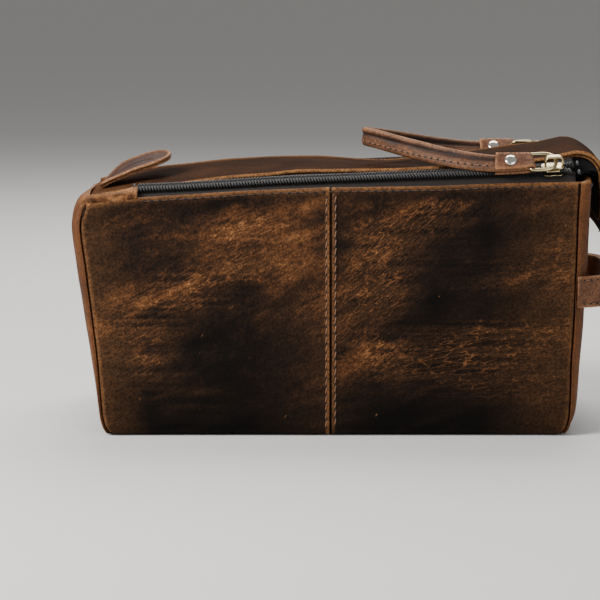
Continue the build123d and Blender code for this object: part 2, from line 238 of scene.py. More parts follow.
def leather_material(name, stops, edge_color, patchiness, roughness=(0.46, 0.70), creased=False, shine=0.22):
    """Waxed pull-up leather: patches set by the tone attribute, light wear on edges and creases, and darker grain
    valleys that are partly the leather's colour and partly painted shade.
    """
    material, tree, shader = new_material(name)
    link = tree.links.new
    where = add_node(tree, "ShaderNodeTexCoord").outputs["Object"]
    tone = add_node(tree, "ShaderNodeAttribute", attribute_name="tone").outputs["Fac"]
    wear = add_node(tree, "ShaderNodeAttribute", attribute_name="wear").outputs["Fac"]
    patches = noise_at(tree, where, 24, 5, 0.62, 0.8)
    mottle = noise_at(tree, where, 110, 8, 0.70, 0.4)
    speckle = noise_at(tree, where, 850, 5, 0.75)
    fibre_a = noise_at(tree, stretched(tree, where, (0.3, 0.5, 0.2), (1300, 1300, 420)), 1.0, 3, 0.6)
    fibre_b = noise_at(tree, stretched(tree, where, (0.2, 0.65, 0.1), (380, 1200, 1200)), 1.0, 3, 0.6)
    total = tone
    for value, weight in ((patches, patchiness), (mottle, 0.50), (speckle, 0.26), (fibre_a, 0.18), (fibre_b, 0.18)):
        total = math_node(tree, "MULTIPLY_ADD", value, weight, total)
    total = math_node(tree, "SUBTRACT", total, 0.5 * (patchiness + 0.50 + 0.26 + 0.36))
    normal = bump_at(tree, mottle, 0.5, 0.0009)
    if creased:
        slanted = stretched(tree, where, (0, math.radians(STREAK_DEGREES), 0), (1, 1, 1))
        streaks = noise_at(tree, stretched(tree, slanted, (0, 0, 0), (26, 60, 105)), 1.0, 7, 0.62, 0.5)
        total = math_node(tree, "MULTIPLY_ADD", streaks, 0.95, math_node(tree, "SUBTRACT", total, 0.475))
        masks = add_node(tree, "ShaderNodeSeparateXYZ")
        link(add_node(tree, "ShaderNodeAttribute", attribute_name="creases").outputs["Vector"], masks.inputs[0])
        folds = None
        for index, (degrees, size, strength) in enumerate(((9, 500, 1.0), (38, 520, 0.8), (27, 500, 0.6))):
            field = crease_field(tree, where, degrees, masks.outputs[index], size)
            field = math_node(tree, "MULTIPLY", field, strength)
            folds = field if folds is None else math_node(tree, "MAXIMUM", folds, field)
        total = math_node(tree, "MULTIPLY_ADD", folds, 0.62, total)
        normal = bump_at(tree, folds, 0.8, 0.0005, normal)
    color = ramp_at(tree, total, stops)
    worn = math_node(tree, "MULTIPLY_ADD", mottle, 1.6, -0.8)
    worn = math_node(tree, "MULTIPLY_ADD", speckle, 0.8, math_node(tree, "SUBTRACT", worn, 0.4))
    worn = math_node(tree, "MULTIPLY_ADD", worn, wear, wear)
    worn = remapped(tree, worn, 0.0, 1.0)
    color = mixed_color(tree, worn, color, edge_color)
    pebbles = add_node(tree, "ShaderNodeTexVoronoi", _Scale=880.0)
    wander = add_node(tree, "ShaderNodeTexNoise", _Scale=420.0, _Detail=3.0)
    link(where, wander.inputs["Vector"])
    strayed = add_node(tree, "ShaderNodeVectorMath", operation="MULTIPLY_ADD")
    link(wander.outputs["Color"], strayed.inputs[0])
    strayed.inputs[1].default_value = (0.0016, 0.0016, 0.0016)
    link(where, strayed.inputs[2])
    link(strayed.outputs[0], pebbles.inputs["Vector"])
    # Darker grain valleys: partly the leather's own colour, partly painted shade in the hollows of the pebble grain.
    valley_tone_and_shade = remapped(tree, pebbles.outputs["Distance"], 0.25, 0.85, 0.0, 0.60)
    color = mixed_color(tree, valley_tone_and_shade, color, tuple(0.35 * c for c in stops[1][1]))
    scratch_field = noise_at(tree, stretched(tree, where, (0.2, 0.9, 0.3), (110, 900, 900)), 1.0, 2, 0.5)
    scratches = remapped(tree, scratch_field, 0.76, 0.82, 0.0, 0.6)
    color = mixed_color(tree, scratches, color, edge_color)
    link(color, shader.inputs["Base Color"])
    gloss = math_node(tree, "MULTIPLY_ADD", speckle, 0.5, math_node(tree, "MULTIPLY", mottle, 0.6))
    link(remapped(tree, gloss, 0.35, 0.75, *roughness), shader.inputs["Roughness"])
    normal = bump_at(tree, fibre_b, 0.4, 0.0003, normal)
    normal = bump_at(tree, pebbles.outputs["Distance"], 0.5, 0.00022, normal)
    link(normal, shader.inputs["Normal"])
    shader.inputs["Specular IOR Level"].default_value = shine
    return material


DARK_STOPS = [
    (0.0, (0.0020, 0.0014, 0.0012)),
    (0.22, (0.0060, 0.0036, 0.0026)),
    (0.42, (0.0220, 0.0105, 0.0056)),
    (0.62, (0.0880, 0.0340, 0.0125)),
    (0.82, (0.210, 0.088, 0.032)),
    (1.0, (0.350, 0.165, 0.066)),
]
TAN_STOPS = [
    (0.0, (0.018, 0.0075, 0.0045)),
    (0.3, (0.066, 0.023, 0.0085)),
    (0.6, (0.165, 0.058, 0.0185)),
    (1.0, (0.320, 0.132, 0.046)),
]
LID_STOPS = [
    (0.0, (0.007, 0.0044, 0.0034)),
    (0.4, (0.029, 0.0130, 0.0070)),
    (0.75, (0.080, 0.0330, 0.0140)),
    (1.0, (0.170, 0.077, 0.032)),
]
STRAP_STOPS = [
    (0.0, (0.009, 0.0048, 0.004)),
    (0.3, (0.042, 0.0165, 0.0098)),
    (0.6, (0.120, 0.046, 0.022)),
    (1.0, (0.300, 0.135, 0.062)),
]
body_leather = leather_material("waxed leather, dark", DARK_STOPS, (0.34, 0.150, 0.056), 0.3, (0.52, 0.78), True, 0.07)
end_leather = leather_material("waxed leather, ends", TAN_STOPS, (0.37, 0.158, 0.055), 0.8, shine=0.14)
lid_leather = leather_material("waxed leather, lid", LID_STOPS, (0.33, 0.155, 0.062), 0.45, (0.7, 0.9), shine=0.02)
strap_leather = leather_material("waxed leather, straps", STRAP_STOPS, (0.36, 0.168, 0.076), 0.6)


def woven_material(name, dark, light, pitch, roughness):
    """Fine woven cloth or tape: two crossed sets of yarns."""
    material, tree, shader = new_material(name)
    link = tree.links.new
    where = add_node(tree, "ShaderNodeTexCoord").outputs["Object"]
    waves = []
    for turn in ((0, 0, 0.02), (0, 0.0, math.pi / 2)):
        wave = add_node(tree, "ShaderNodeTexWave", _Scale=1 / pitch, _Distortion=0.6, _Detail=2.0)
        link(stretched(tree, where, turn, (1, 1, 1)), wave.inputs["Vector"])
        waves.append(wave.outputs["Fac"])
    weave = math_node(tree, "MULTIPLY", waves[0], waves[1])
    fuzz = noise_at(tree, where, 900, 5, 0.7)
    total = math_node(tree, "MULTIPLY_ADD", fuzz, 0.5, math_node(tree, "MULTIPLY", weave, 0.6))
    link(ramp_at(tree, total, [(0.1, dark), (0.9, light)]), shader.inputs["Base Color"])
    link(bump_at(tree, weave, 0.5, 0.0002, bump_at(tree, fuzz, 0.3, 0.0001)), shader.inputs["Normal"])
    shader.inputs["Roughness"].default_value = roughness
    shader.inputs["Sheen Weight"].default_value = 0.08
    shader.inputs["Specular IOR Level"].default_value = 0.15
    return material


tape_cloth = woven_material("zip tape, brown", (0.006, 0.0048, 0.0045), (0.034, 0.026, 0.023), 0.0008, 0.9)
inner_tape_cloth = woven_material("zip tape, black", (0.003, 0.003, 0.0035), (0.013, 0.011, 0.0115), 0.0008, 0.9)


def lining_material():
    """Black lining cloth: fine, uneven and dull."""
    material, tree, shader = new_material("black lining cloth")
    where = add_node(tree, "ShaderNodeTexCoord").outputs["Object"]
    yarns = noise_at(tree, stretched(tree, where, (0, 0, 0), (900, 900, 1500)), 1.0, 3, 0.6)
    folds = noise_at(tree, where, 60, 4, 0.6)
    total = math_node(tree, "MULTIPLY_ADD", yarns, 0.6, math_node(tree, "MULTIPLY", folds, 0.4))
    color = ramp_at(tree, total, [(0.3, (0.0035, 0.0035, 0.004)), (0.7, (0.014, 0.0135, 0.015))])
    tree.links.new(color, shader.inputs["Base Color"])
    normal = bump_at(tree, yarns, 0.3, 0.0001, bump_at(tree, folds, 0.5, 0.0015))
    tree.links.new(normal, shader.inputs["Normal"])
    shader.inputs["Roughness"].default_value = 0.85
    shader.inputs["Specular IOR Level"].default_value = 0.2
    return material


lining_cloth = lining_material()


def metal_material(name, bright, dull, roughness):
    material, tree, shader = new_material(name)
    link = tree.links.new
    where = add_node(tree, "ShaderNodeTexCoord").outputs["Object"]
    tarnish = noise_at(tree, where, 240, 6, 0.65, 0.4)
    fine = noise_at(tree, where, 2200, 3, 0.6)
    link(ramp_at(tree, tarnish, [(0.30, dull), (0.62, bright)]), shader.inputs["Base Color"])
    gloss = add_node(tree, "ShaderNodeMapRange", _To_Min=roughness[0], _To_Max=roughness[1])
    link(tarnish, gloss.inputs["Value"])
    link(gloss.outputs[0], shader.inputs["Roughness"])
    link(bump_at(tree, fine, 0.12, 0.00004), shader.inputs["Normal"])
    shader.inputs["Metallic"].default_value = 1.0
    return material


brass = metal_material("antique brass", (0.60, 0.51, 0.29), (0.27, 0.21, 0.11), (0.34, 0.20))
nickel = metal_material("polished nickel", (0.93, 0.90, 0.84), (0.74, 0.70, 0.62), (0.20, 0.08))


def plain_detail(name, color, other, size, roughness):
    """A solid material with fine colour variation, for thread, coils and board."""
    material, tree, shader = new_material(name)
    link = tree.links.new
    where = add_node(tree, "ShaderNodeTexCoord").outputs["Object"]
    grain = noise_at(tree, where, 1 / size, 4, 0.65)
    link(ramp_at(tree, grain, [(0.3, color), (0.7, other)]), shader.inputs["Base Color"])
    link(bump_at(tree, grain, 0.25, 0.00006), shader.inputs["Normal"])
    shader.inputs["Roughness"].default_value = roughness
    return material


thread_tan = plain_detail("waxed thread, tan", (0.105, 0.046, 0.022), (0.23, 0.105, 0.050), 0.0006, 0.5)
thread_dark = plain_detail("waxed thread, brown", (0.034, 0.0155, 0.0085), (0.085, 0.038, 0.019), 0.0006, 0.6)
# Near-black material for the painted shade inside the needle holes.
needle_hole_shade = plain_detail("painted needle-hole shade", (0.004, 0.003, 0.003), (0.008, 0.006, 0.005), 0.0006, 0.9)
coil_nylon = plain_detail("nylon coil", (0.0045, 0.004, 0.0042), (0.011, 0.0096, 0.010), 0.0012, 0.60)
board = plain_detail("base board", (0.02, 0.02, 0.02), (0.05, 0.05, 0.05), 0.002, 0.8)


# ---------------------------------------------------------------- mesh making
def finish_piece(
    name, verts, faces, material, rides=None, replaced=(), tone=None, wear=None, thickness=0.0, creases=None
):
    mesh = bpy.data.meshes.new(name)
    mesh.from_pydata([Vector(v) * MM for v in verts], [], faces)
    for label, values in (("tone", tone), ("wear", wear)):
        layer = mesh.attributes.new(label, "FLOAT", "POINT")
        data = np.zeros(len(verts), np.float32) if values is None else np.array(values, np.float32)
        layer.data.foreach_set("value", data)
    if creases is not None:
        layer = mesh.attributes.new("creases", "FLOAT_VECTOR", "POINT")
        layer.data.foreach_set("vector", np.array(creases, np.float32).ravel())
    mesh.polygons.foreach_set("use_smooth", [True] * len(mesh.polygons))
    mesh.materials.append(material)
    mesh.validate()
    piece = bpy.data.objects.new(name, mesh)
    bpy.context.collection.objects.link(piece)
    if thickness:
        solid = piece.modifiers.new("thickness", "SOLIDIFY")
        solid.thickness = thickness * MM
        solid.offset = -1.0
        bpy.context.view_layer.update()
        evaluated = piece.evaluated_get(bpy.context.evaluated_depsgraph_get())
        thick = bpy.data.meshes.new_from_object(evaluated)
        piece.modifiers.clear()
        piece.data = thick
    if replaced:
        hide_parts(*replaced)
    if rides:
        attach(piece, rides)
    return piece


def grid_faces(rows, columns, wrap=False, flip=False, start=0):
    """Quads of a grid of rows by columns; wrap closes each row on itself."""
    faces = []
    for r in range(rows - 1):
        for c in range(columns if wrap else columns - 1):
            d = (c + 1) % columns
            quad = [
                start + r * columns + c,
                start + r * columns + d,
                start + (r + 1) * columns + d,
                start + (r + 1) * columns + c,
            ]
            faces.append(quad[::-1] if flip else quad)
    return faces


class Lump:
    """Collects many small solids into one mesh."""

    def __init__(self):
        self.verts, self.faces = [], []

    def tube(self, points, radii, sides=8, across=None, flat=1.0):
        """A closed tube with rounded ends through points; flat squeezes it square to the across direction."""
        start = len(self.verts)
        rings = []
        count = len(points)
        for i, point in enumerate(points):
            ahead = points[min(i + 1, count - 1)] - points[max(i - 1, 0)]
            rings.append((point, ahead.normalized(), radii[i]))
        for centre, heading, radius in rings:
            side = heading.cross(across if across is not None else Vector((0, 0, 1)))
            if side.length < 1e-4:
                side = heading.cross(Vector((1, 0, 0)))
            side.normalize()
            up = side.cross(heading)
            for k in range(sides):
                angle = 2 * math.pi * k / sides
                self.verts.append(centre + side * radius * math.cos(angle) + up * radius * flat * math.sin(angle))
        self.faces += grid_faces(len(rings), sides, wrap=True, start=start)
        for ring, order in ((0, -1), (len(rings) - 1, 1)):
            first = start + ring * sides
            self.faces.append([first + k for k in range(sides)][::order])

    def capsule(self, a, b, radius, sides=7, across=None, flat=1.0):
        """A bar with domed ends from a to b."""
        axis = (b - a).normalized()
        half = radius * 0.62
        points = [a - axis * radius * 0.9, a - axis * half, a + axis * half * 0.4, b - axis * half * 0.4]
        points += [b + axis * half, b + axis * radius * 0.9]
        radii = [radius * 0.25, radius * 0.78, radius, radius, radius * 0.78, radius * 0.25]
        self.tube(points, radii, sides, across, flat)

    def piece(self, name, material, slot, rides=None, replaced=(), tone=None):
        values = None if tone is None else [tone] * len(self.verts)
        return finish_piece(name, self.verts, self.faces, material, rides, replaced, tone=values)


def swept_band(stations, section):
    """Closed band: section points (across, up) carried through stations (centre, across axis, up axis)."""
    verts = []
    for centre, across, up in stations:
        for a, u in section:
            verts.append(centre + across * a + up * u)
    columns = len(section)
    faces = grid_faces(len(stations), columns, wrap=True)
    last = (len(stations) - 1) * columns
    faces.append([k for k in range(columns)][::-1])
    faces.append([last + k for k in range(columns)])
    return verts, faces


def band_section(width, thickness, groove=0.0, per_side=12):
    """Rounded-rectangle section with an optional groove along the middle of its upper face."""
    half, r = width / 2, thickness / 2
    points = []
    for k in range(per_side + 1):
        a = half - r - (width - thickness) * k / per_side
        dip = groove * math.exp(-((a + 0.9) / 0.8) ** 2)
        points.append((a, r - dip))
    for k in range(1, 6):
        angle = math.pi / 2 + math.pi * k / 6
        points.append((-half + r + r * math.cos(angle), r * math.sin(angle)))
    for k in range(per_side + 1):
        points.append((-half + r + (width - thickness) * k / per_side, -r))
    for k in range(1, 6):
        angle = -math.pi / 2 + math.pi * k / 6
        points.append((half - r + r * math.cos(angle), r * math.sin(angle)))
    return points


def spaced(low, high, step, ease_length=0.0, fine=0.35):
    """Places from low to high about step apart, packed closer near both ends."""
    count = max(2, int(round((high - low) / step)))
    places = [low + (high - low) * k / count for k in range(count + 1)]
    if ease_length:
        extra = [fine * k for k in range(1, int(ease_length / fine))]
        places += [low + e for e in extra] + [high - e for e in extra]
    places = sorted(set(round(p, 4) for p in places))
    kept = [places[0]]
    for p in places[1:-1]:
        if p - kept[-1] > fine * 0.6 and places[-1] - p > fine * 0.6:
            kept.append(p)
    return kept + [places[-1]]


# ---------------------------------------------------------------- shape of the leather box
RIM = [(-124, 114.6), (-98, 117.3), (-64, 119.4), (-40, 121.0), (-16, 122.0), (8, 122.5), (52, 123.2), (77, 124.3), (126, 125.0)]
# Creased areas: centre x, z, direction in degrees, half length, half width, spacing, height, fine field
CREASES = [
    (80, 46, 10, 54, 14, 3.4, 0.22, 0),
    (104, 84, 14, 24, 12, 3.4, 0.16, 0),
    (98, 26, -3, 26, 10, 4.0, 0.18, 0),
    (16, 72, 42, 30, 14, 3.8, 0.24, 1),
    (32, 98, 38, 30, 11, 3.6, 0.18, 1),
    (24, 40, 40, 20, 10, 3.6, 0.16, 1),
    (-66, 74, 27, 44, 9, 4.2, 0.18, 2),
    (-96, 56, 30, 22, 13, 3.6, 0.20, 2),
    (-84, 30, -38, 18, 8, 4.4, 0.16, 2),
    (-38, 104, 20, 30, 8, 4.0, 0.16, 2),
]
# Patches: centre x, z, direction in degrees, half length, half width, change of tone
PATCHES = [
    (-62, 88, 25, 58, 12, 0.20),
    (-66, 72, 28, 46, 6, 0.12),
    (-104, 62, 35, 18, 8, 0.16),
    (-92, 60, 30, 12, 5, -0.14),
    (-95, 42, -35, 24, 6, 0.17),
    (-112, 80, 85, 34, 9, 0.14),
    (-70, 106, 4, 56, 12, 0.17),
    (-52, 58, 20, 14, 5, 0.16),
    (-55, 40, 5, 44, 22, -0.14),
    (-24, 26, 12, 16, 8, 0.15),
    (-26, 62, 60, 30, 9, 0.10),
    (-7, 66, 89, 60, 5, 0.26),
    (4, 80, 89, 50, 4, 0.14),
    (80, 98, 8, 44, 16, -0.19),
    (70, 62, 8, 34, 8, -0.16),
    (84, 46, 10, 44, 8, -0.06),
    (70, 114, 2, 60, 5, 0.14),
    (28, 92, 40, 34, 10, 0.15),
    (9, 48, 82, 36, 8, 0.28),
    (34, 30, -25, 20, 9, 0.12),
    (62, 56, 10, 22, 12, -0.16),
    (112, 70, 84, 50, 4, 0.34),
    (70, 12, 2, 54, 9, -0.14),
    (0, 6, 0, 130, 5, -0.12),
]


def blob(x, z, cx, cz, degrees, half_long, half_wide):
    """Soft oval: its weight, and the distance across it."""
    turn = math.radians(degrees)
    dx, dz = x - cx, z - cz
    run = dx * math.cos(turn) + dz * math.sin(turn)
    off = -dx * math.sin(turn) + dz * math.cos(turn)
    return math.exp(-((run / half_long) ** 2) - (off / half_wide) ** 2), off, run


def half_depth(z):
    return DEPTH_BASE - DEPTH_LEAN * z


def corner_pull(z):
    """How far the lower corners draw in towards the base."""
    return 4.6 * (1 - math.sqrt(1 - (1 - clamp(z / 13.0)) ** 2))


LEFT_LINE = [(0, -113.0), (30, -115.2), (60, -118.2), (83, -121.0), (95, -122.7), (104, -123.3), (110, -122.2), (117, -119.4)]
LEFT_BULGE = [(0, 2.6), (30, 5.0), (60, 7.0), (83, 8.0), (104, 8.2), (112, 7.4), (118, 6.0)]
RIGHT_BULGE = [(0, 4.0), (15, 7.0), (40, 8.4), (60, 9.0), (85, 10.2), (112, 11.0), (126, 10.6)]


def seam_left(z):
    return smooth_curve(LEFT_LINE, z) + corner_pull(z) + 0.4 * ripple(0, 0, z, 28, 3)


def seam_right(z):
    return RIGHT_SEAM + RIGHT_LEAN * z - corner_pull(z) + 0.4 * ripple(0, 0, z, 24, 9)


def edge_drop(distance, radius):
    """How far a turned-in edge has sunk at a distance from its seam."""
    if distance >= radius:
        return 0.0
    return radius - math.sqrt(max(0.0, radius * radius - (radius - distance) ** 2))


def wall_profile(rim, fold, leg, under):
    """Section of a wall from under the base, up and over its folded rim: (inset, z, out, up)."""
    profile = [(under * (1 - k / 6), 0.0, 0.0, -1.0, -under * (1 - k / 6)) for k in range(6)]
    points = [(BASE_ROUND + inset, z, out, up) for inset, z, out, up, _ in profile]
    for k in range(9):
        angle = -math.pi / 2 + math.pi / 2 * k / 8
        inset = BASE_ROUND - BASE_ROUND * math.cos(angle)
        points.append((inset, BASE_ROUND + BASE_ROUND * math.sin(angle), math.cos(angle), math.sin(angle)))
    for z in spaced(BASE_ROUND, rim - fold, 0.95)[1:]:
        points.append((0.0, z, 1.0, 0.0))
    for k in range(1, 9):
        angle = math.pi * k / 8
        inset = fold - fold * math.cos(angle)
        points.append((inset, rim - fold + fold * math.sin(angle), math.cos(angle), math.sin(angle)))
    for k in range(1, 6):
        points.append((2 * fold, rim - fold - leg * k / 5, -1.0, 0.0))
    return points


def face_relief(x, z, side, seam_gap, centre_gap, rim_gap):
    """Height of the leather face over its plain form, and its share of crease ridge."""
    seed = 0.0 if side < 0 else 17.0
    fade = ease(seam_gap / 14) * ease((rim_gap - 2) / 12) * ease(z / 16)
    height = 2.8 * math.sqrt(clamp(seam_gap / 45)) * ease(rim_gap / 60) * ease(z / 40)
    height += fade * (1.5 * ripple(x, seed, z, 46, 1) + 0.6 * ripple(x, seed, z, 19, 5))
    height += 0.10 * fade * ripple(x, seed, z, 6, 8)
    ridge = 0.0
    fields = [0.0, 0.0, 0.0]
    crease_fade = ease(seam_gap / 5) * ease(centre_gap / 7) * ease((rim_gap - 3) / 6) * ease(z / 8)
    mirror_x = x if side < 0 else -x
    for cx, cz, degrees, half_long, half_wide, spacing, amount, field in CREASES:
        weight, off, run = blob(mirror_x, z, cx, cz, degrees, half_long, half_wide)
        if weight < 0.03:
            continue
        fields[field] = max(fields[field], ease(1.5 * weight) * crease_fade)
        across = (off + 1.8 * ripple(run, seed, off, 16, 2)) / (0.9 * spacing)
        folds = noise.noise(Vector((run / (5.5 * spacing), across + cx, seed)))
        wave = clamp(1 - abs(folds) * 1.6)
        height += crease_fade * amount * weight * (wave**1.4 - 0.35)
        ridge = max(ridge, weight * crease_fade * wave**2)
    return height, ridge, fields


def face_tone(x, z, side):
    mirror_x = x if side < 0 else -x
    tone = 0.255 - 0.12 * ease((62 - z) / 62)
    for cx, cz, degrees, half_long, half_wide, change in PATCHES:
        tone += change * blob(mirror_x, z, cx, cz, degrees, half_long, half_wide)[0]
    return tone


def front_point(x, z, side=-1, lift=0.0):
    """A place on the front (side -1) or back (side 1) face."""
    rim = smooth_curve(RIM, x)
    gap_left, gap_right = x - seam_left(z), seam_right(z) - x
    height = face_relief(x, z, side, min(gap_left, gap_right), abs(x - CENTRE_SEAM), rim - z)[0]
    return Vector((x, side * (half_depth(z) + height + lift), z))


def front_half(side, left):
    """One half of the front or back panel."""
    verts, tone, wear, creases = [], [], [], []
    columns = spaced(0.0, 1.0, 0.0085)
    edge_share = [0.004, 0.009, 0.016, 0.025]
    columns = sorted(set(columns + edge_share + [1 - e for e in edge_share]))
    count = 0
    for u in columns:
        x_mid = (seam_left(60) if left else CENTRE_SEAM) * (1 - u) + (CENTRE_SEAM if left else seam_right(60)) * u
        rim = smooth_curve(RIM, x_mid)
        profile = wall_profile(rim, FOLD, 5.5, 8.5)
        if count == 0:
            steps = len(profile)
            count = steps
        for index in range(steps):
            place = index * (len(profile) - 1) / (steps - 1)
            k = min(int(place), len(profile) - 2)
            part = place - k
            inset, z, out, up = [profile[k][j] * (1 - part) + profile[k + 1][j] * part for j in range(4)]
            low, high = (seam_left(z), CENTRE_SEAM) if left else (CENTRE_SEAM, seam_right(z))
            x = low + (high - low) * u
            rim_here = smooth_curve(RIM, x)
            gap_seam = (x - low) if left else (high - x)
            gap_centre = (high - x) if left else (x - low)
            on_face = out > 0.98
            height, ridge, fields = 0.0, 0.0, (0.0, 0.0, 0.0)
            if on_face:
                height, ridge, fields = face_relief(x, z, side, gap_seam, gap_centre, rim_here - z)
            drop = edge_drop(gap_seam, 2.3) + edge_drop(gap_centre, 1.3)
            lip = 0.35 * math.exp(-(((gap_centre - 1.5) / 1.6) ** 2)) * (1.0 if left else 0.4)
            lip += 0.30 * math.exp(-(((gap_seam - 2.6) / 1.8) ** 2))
            move = height + lip - drop
            depth = half_depth(z) - inset
            verts.append((x, side * (depth + move * out), z + move * up * (0.0 if z < 0.5 else 1.0)))
            near_rim = math.exp(-(((rim_here - z) / 2.0) ** 2))
            edge = 0.50 * math.exp(-((gap_seam / 2.4) ** 2)) + 0.42 * near_rim
            edge += (0.62 if left else 0.30) * math.exp(-(((gap_centre - 1.0) / 1.1) ** 2))
            edge -= 0.9 * (math.exp(-((gap_seam / 0.6) ** 2)) + math.exp(-((gap_centre / 0.45) ** 2)))
            wear.append(clamp(edge + 0.16 * ridge))
            tone.append(face_tone(x, z, side) + 0.12 * ridge)
            creases.append(tuple(fields))
    faces = grid_faces(len(columns), count, flip=(side < 0))
    place = "front" if side < 0 else "back"
    name = f"{place}_panel_{'left' if left else 'right'}"
    finish_piece(
        f"leather_{name}", verts, faces, body_leather, "bag", (name,), tone, wear,
        thickness=LEATHER * 0.7, creases=creases,
    )


def end_outline(right, z, inset, s):
    """Plan of an end panel: s runs 0 to 1 from the front seam round to the back seam."""
    seam = seam_right(z) if right else seam_left(z)
    outward = 1 if right else -1
    depth = half_depth(z) - inset
    bulge = smooth_curve(RIGHT_BULGE if right else LEFT_BULGE, z)
    out_x = max(0.62 * bulge - inset, 0.4)
    run = 9.0
    corner = 0.22
    t = s if s <= 0.5 else 1 - s
    if t < corner:
        angle = math.pi / 2 * t / corner
        x, y = out_x * math.sin(angle), -depth + run * (1 - math.cos(angle))
        normal = Vector((math.sin(angle) / max(out_x, 1.5), -math.cos(angle) / run, 0)).normalized()
    else:
        part = (t - corner) / (0.5 - corner)
        y = (-depth + run) * (1 - part)
        x = out_x + 0.38 * bulge * (1 - (1 - part) ** 2)
        normal = Vector((1, -0.05 * (1 - part), 0)).normalized()
    if s > 0.5:
        y, normal.y = -y, -normal.y
    return Vector((seam + outward * x, y, z)), Vector((outward * normal.x, normal.y, 0))


def end_panel(right):
    rim = (right_end_high.z if right else left_end_high.z) - 0.8
    fold = 1.6 if right else 4.2
    profile = wall_profile(rim, fold, 6.0, 7.0)
    columns = sorted(set(spaced(0.0, 1.0, 0.011) + [0.003, 0.007, 0.013, 0.987, 0.993, 0.997]))
    verts, tone, wear = [], [], []
    width = 2 * half_depth(60)
    for s in columns:
        for inset, z, out, up in profile:
            point, normal = end_outline(right, z, inset, s)
            gap = min(s, 1 - s) * width
            sag = 0.9 * ripple(s * 9, z / 40, 0, 1.6, 4) + 0.35 * ripple(s * 22, z / 14, 0, 1.5, 6)
            belt = 0.0
            if right:
                belt = -1.8 * math.exp(-(((z - (handle_low.z + handle_high.z) / 2) / 9) ** 2)) * ease(1 - gap / 26)
            move = (sag * ease(gap / 12) + belt) * out - edge_drop(gap, 2.6)
            if z < 0.5:
                move = 0.0
            place = point + normal * move
            if out < -0.5:
                place = point + normal * min(move, 0.0)
            verts.append(place)
            wear.append(clamp(0.55 * math.exp(-(((rim - z) / 2.4) ** 2)) + 0.35 * math.exp(-(((gap - 3.2) / 2.2) ** 2))
                              - 0.9 * math.exp(-((gap / 0.8) ** 2))))
            tone.append(0.50 + 0.20 * ripple(s * 14, z / 22, 0, 1.2, 3) - 0.16 * ease(1 - z / 30))
    faces = grid_faces(len(columns), len(profile), flip=right)
    name = "end_panel_right" if right else "end_panel_left"
    finish_piece(f"leather_{name}", verts, faces, end_leather, "bag", (name,), tone, wear, thickness=LEATHER * 0.7)


for face_side in (-1, 1):
    for is_left in (True, False):
        front_half(face_side, is_left)
end_panel(True)
end_panel(False)


def base_and_lining():
    """Flat base leather, and the cloth that lines the compartment."""
    verts, faces, tone = [], [], []
    half_x, half_y, corner = (base_high.x - base_low.x) / 2 + 0.6, base_high.y + 0.6, 7.0
    rings = [0.0, 0.4, 0.8, 1.4, 3.0, 8.0, 18.0, 32.0, 44.0]
    per_ring = 96
    for level, rows in ((0.15, rings), (1.9, rings)):
        for inset in rows:
            for k in range(per_ring):
                angle = 2 * math.pi * (k + 0.5) / per_ring
                reach = 1 / max(abs(math.cos(angle)) / (half_x - inset), abs(math.sin(angle)) / (half_y - inset))
                x, y = reach * math.cos(angle), reach * math.sin(angle)
                trim = corner / (corner + 26 * (1 - min(abs(x) / (half_x - inset), abs(y) / (half_y - inset))) + 20)
                z = level + (0.5 - inset if inset < 0.5 and level < 1 else 0.0) * 0.4
                verts.append((x * (1 - 0.02 * trim), y * (1 - 0.02 * trim), max(0.02, z)))
                tone.append(0.38 + 0.12 * ripple(x, y, 0, 30, 2))
    count = len(rings)
    faces += grid_faces(count, per_ring, wrap=True, flip=False)
    faces += grid_faces(count, per_ring, wrap=True, flip=True, start=count * per_ring)
    faces.append([(count - 1) * per_ring + k for k in range(per_ring)])
    faces.append([(2 * count - 1) * per_ring + k for k in range(per_ring)][::-1])
    for k in range(per_ring):
        m = (k + 1) % per_ring
        faces.append([k, count * per_ring + k, count * per_ring + m, m])
    finish_piece("leather_base", verts, faces, body_leather, "bag", ("base_panel",), tone)

    verts, rows = [], 0
    gap = LEATHER + 1.3
    per_ring = 150
    for level in spaced(5.5, 113.0, 3.6)[::-1]:
        for k in range(per_ring):
            s = 2 * math.pi * k / per_ring
            depth = half_depth(level) - gap
            left, right = seam_left(level) + 2.2, seam_right(level) - 2.2
            x_mid, half_x = (left + right) / 2, (right - left) / 2
            power = 0.16
            x = x_mid + half_x * math.copysign(abs(math.cos(s)) ** power, math.cos(s))
            y = depth * math.copysign(abs(math.sin(s)) ** power, math.sin(s))
            x += math.copysign(5.5, x - x_mid) * (1 - (y / depth) ** 2) * abs((x - x_mid) / half_x) ** 8
            slack = 1.0 + 0.9 * ripple(x, y, level, 24, 7)
            inward = Vector((x_mid - x, -y, 0)).normalized()
            verts.append(Vector((x, y, min(level, 4.5 + level))) + inward * slack)
        rows += 1
    for share in (0.97, 0.8, 0.5, 0.2, 0.02):
        for k in range(per_ring):
            edge = verts[(rows - 1) * per_ring + k] if share == 0.97 else verts[(rows - 1) * per_ring + k]
            base = verts[(len(spaced(5.5, 113.0, 3.6)) - 1) * per_ring + k]
            x, y = base[0] * share, base[1] * share
            verts.append(Vector((x, y, 4.6 + 0.25 * ripple(x, y, 0, 18, 4))))
        rows += 1
    faces = grid_faces(rows, per_ring, wrap=True)
    last = (rows - 1) * per_ring
    faces.append([last + k for k in range(per_ring)])
    finish_piece(
        "lining_cloth_bag", verts, faces, lining_cloth, "bag",
        ("lining_front", "lining_back", "lining_end_left", "lining_end_right"), thickness=0.5,
    )


base_and_lining()
frame["nodes"]["base_stiffener"].data.materials.clear()
frame["nodes"]["base_stiffener"].data.materials.append(board)


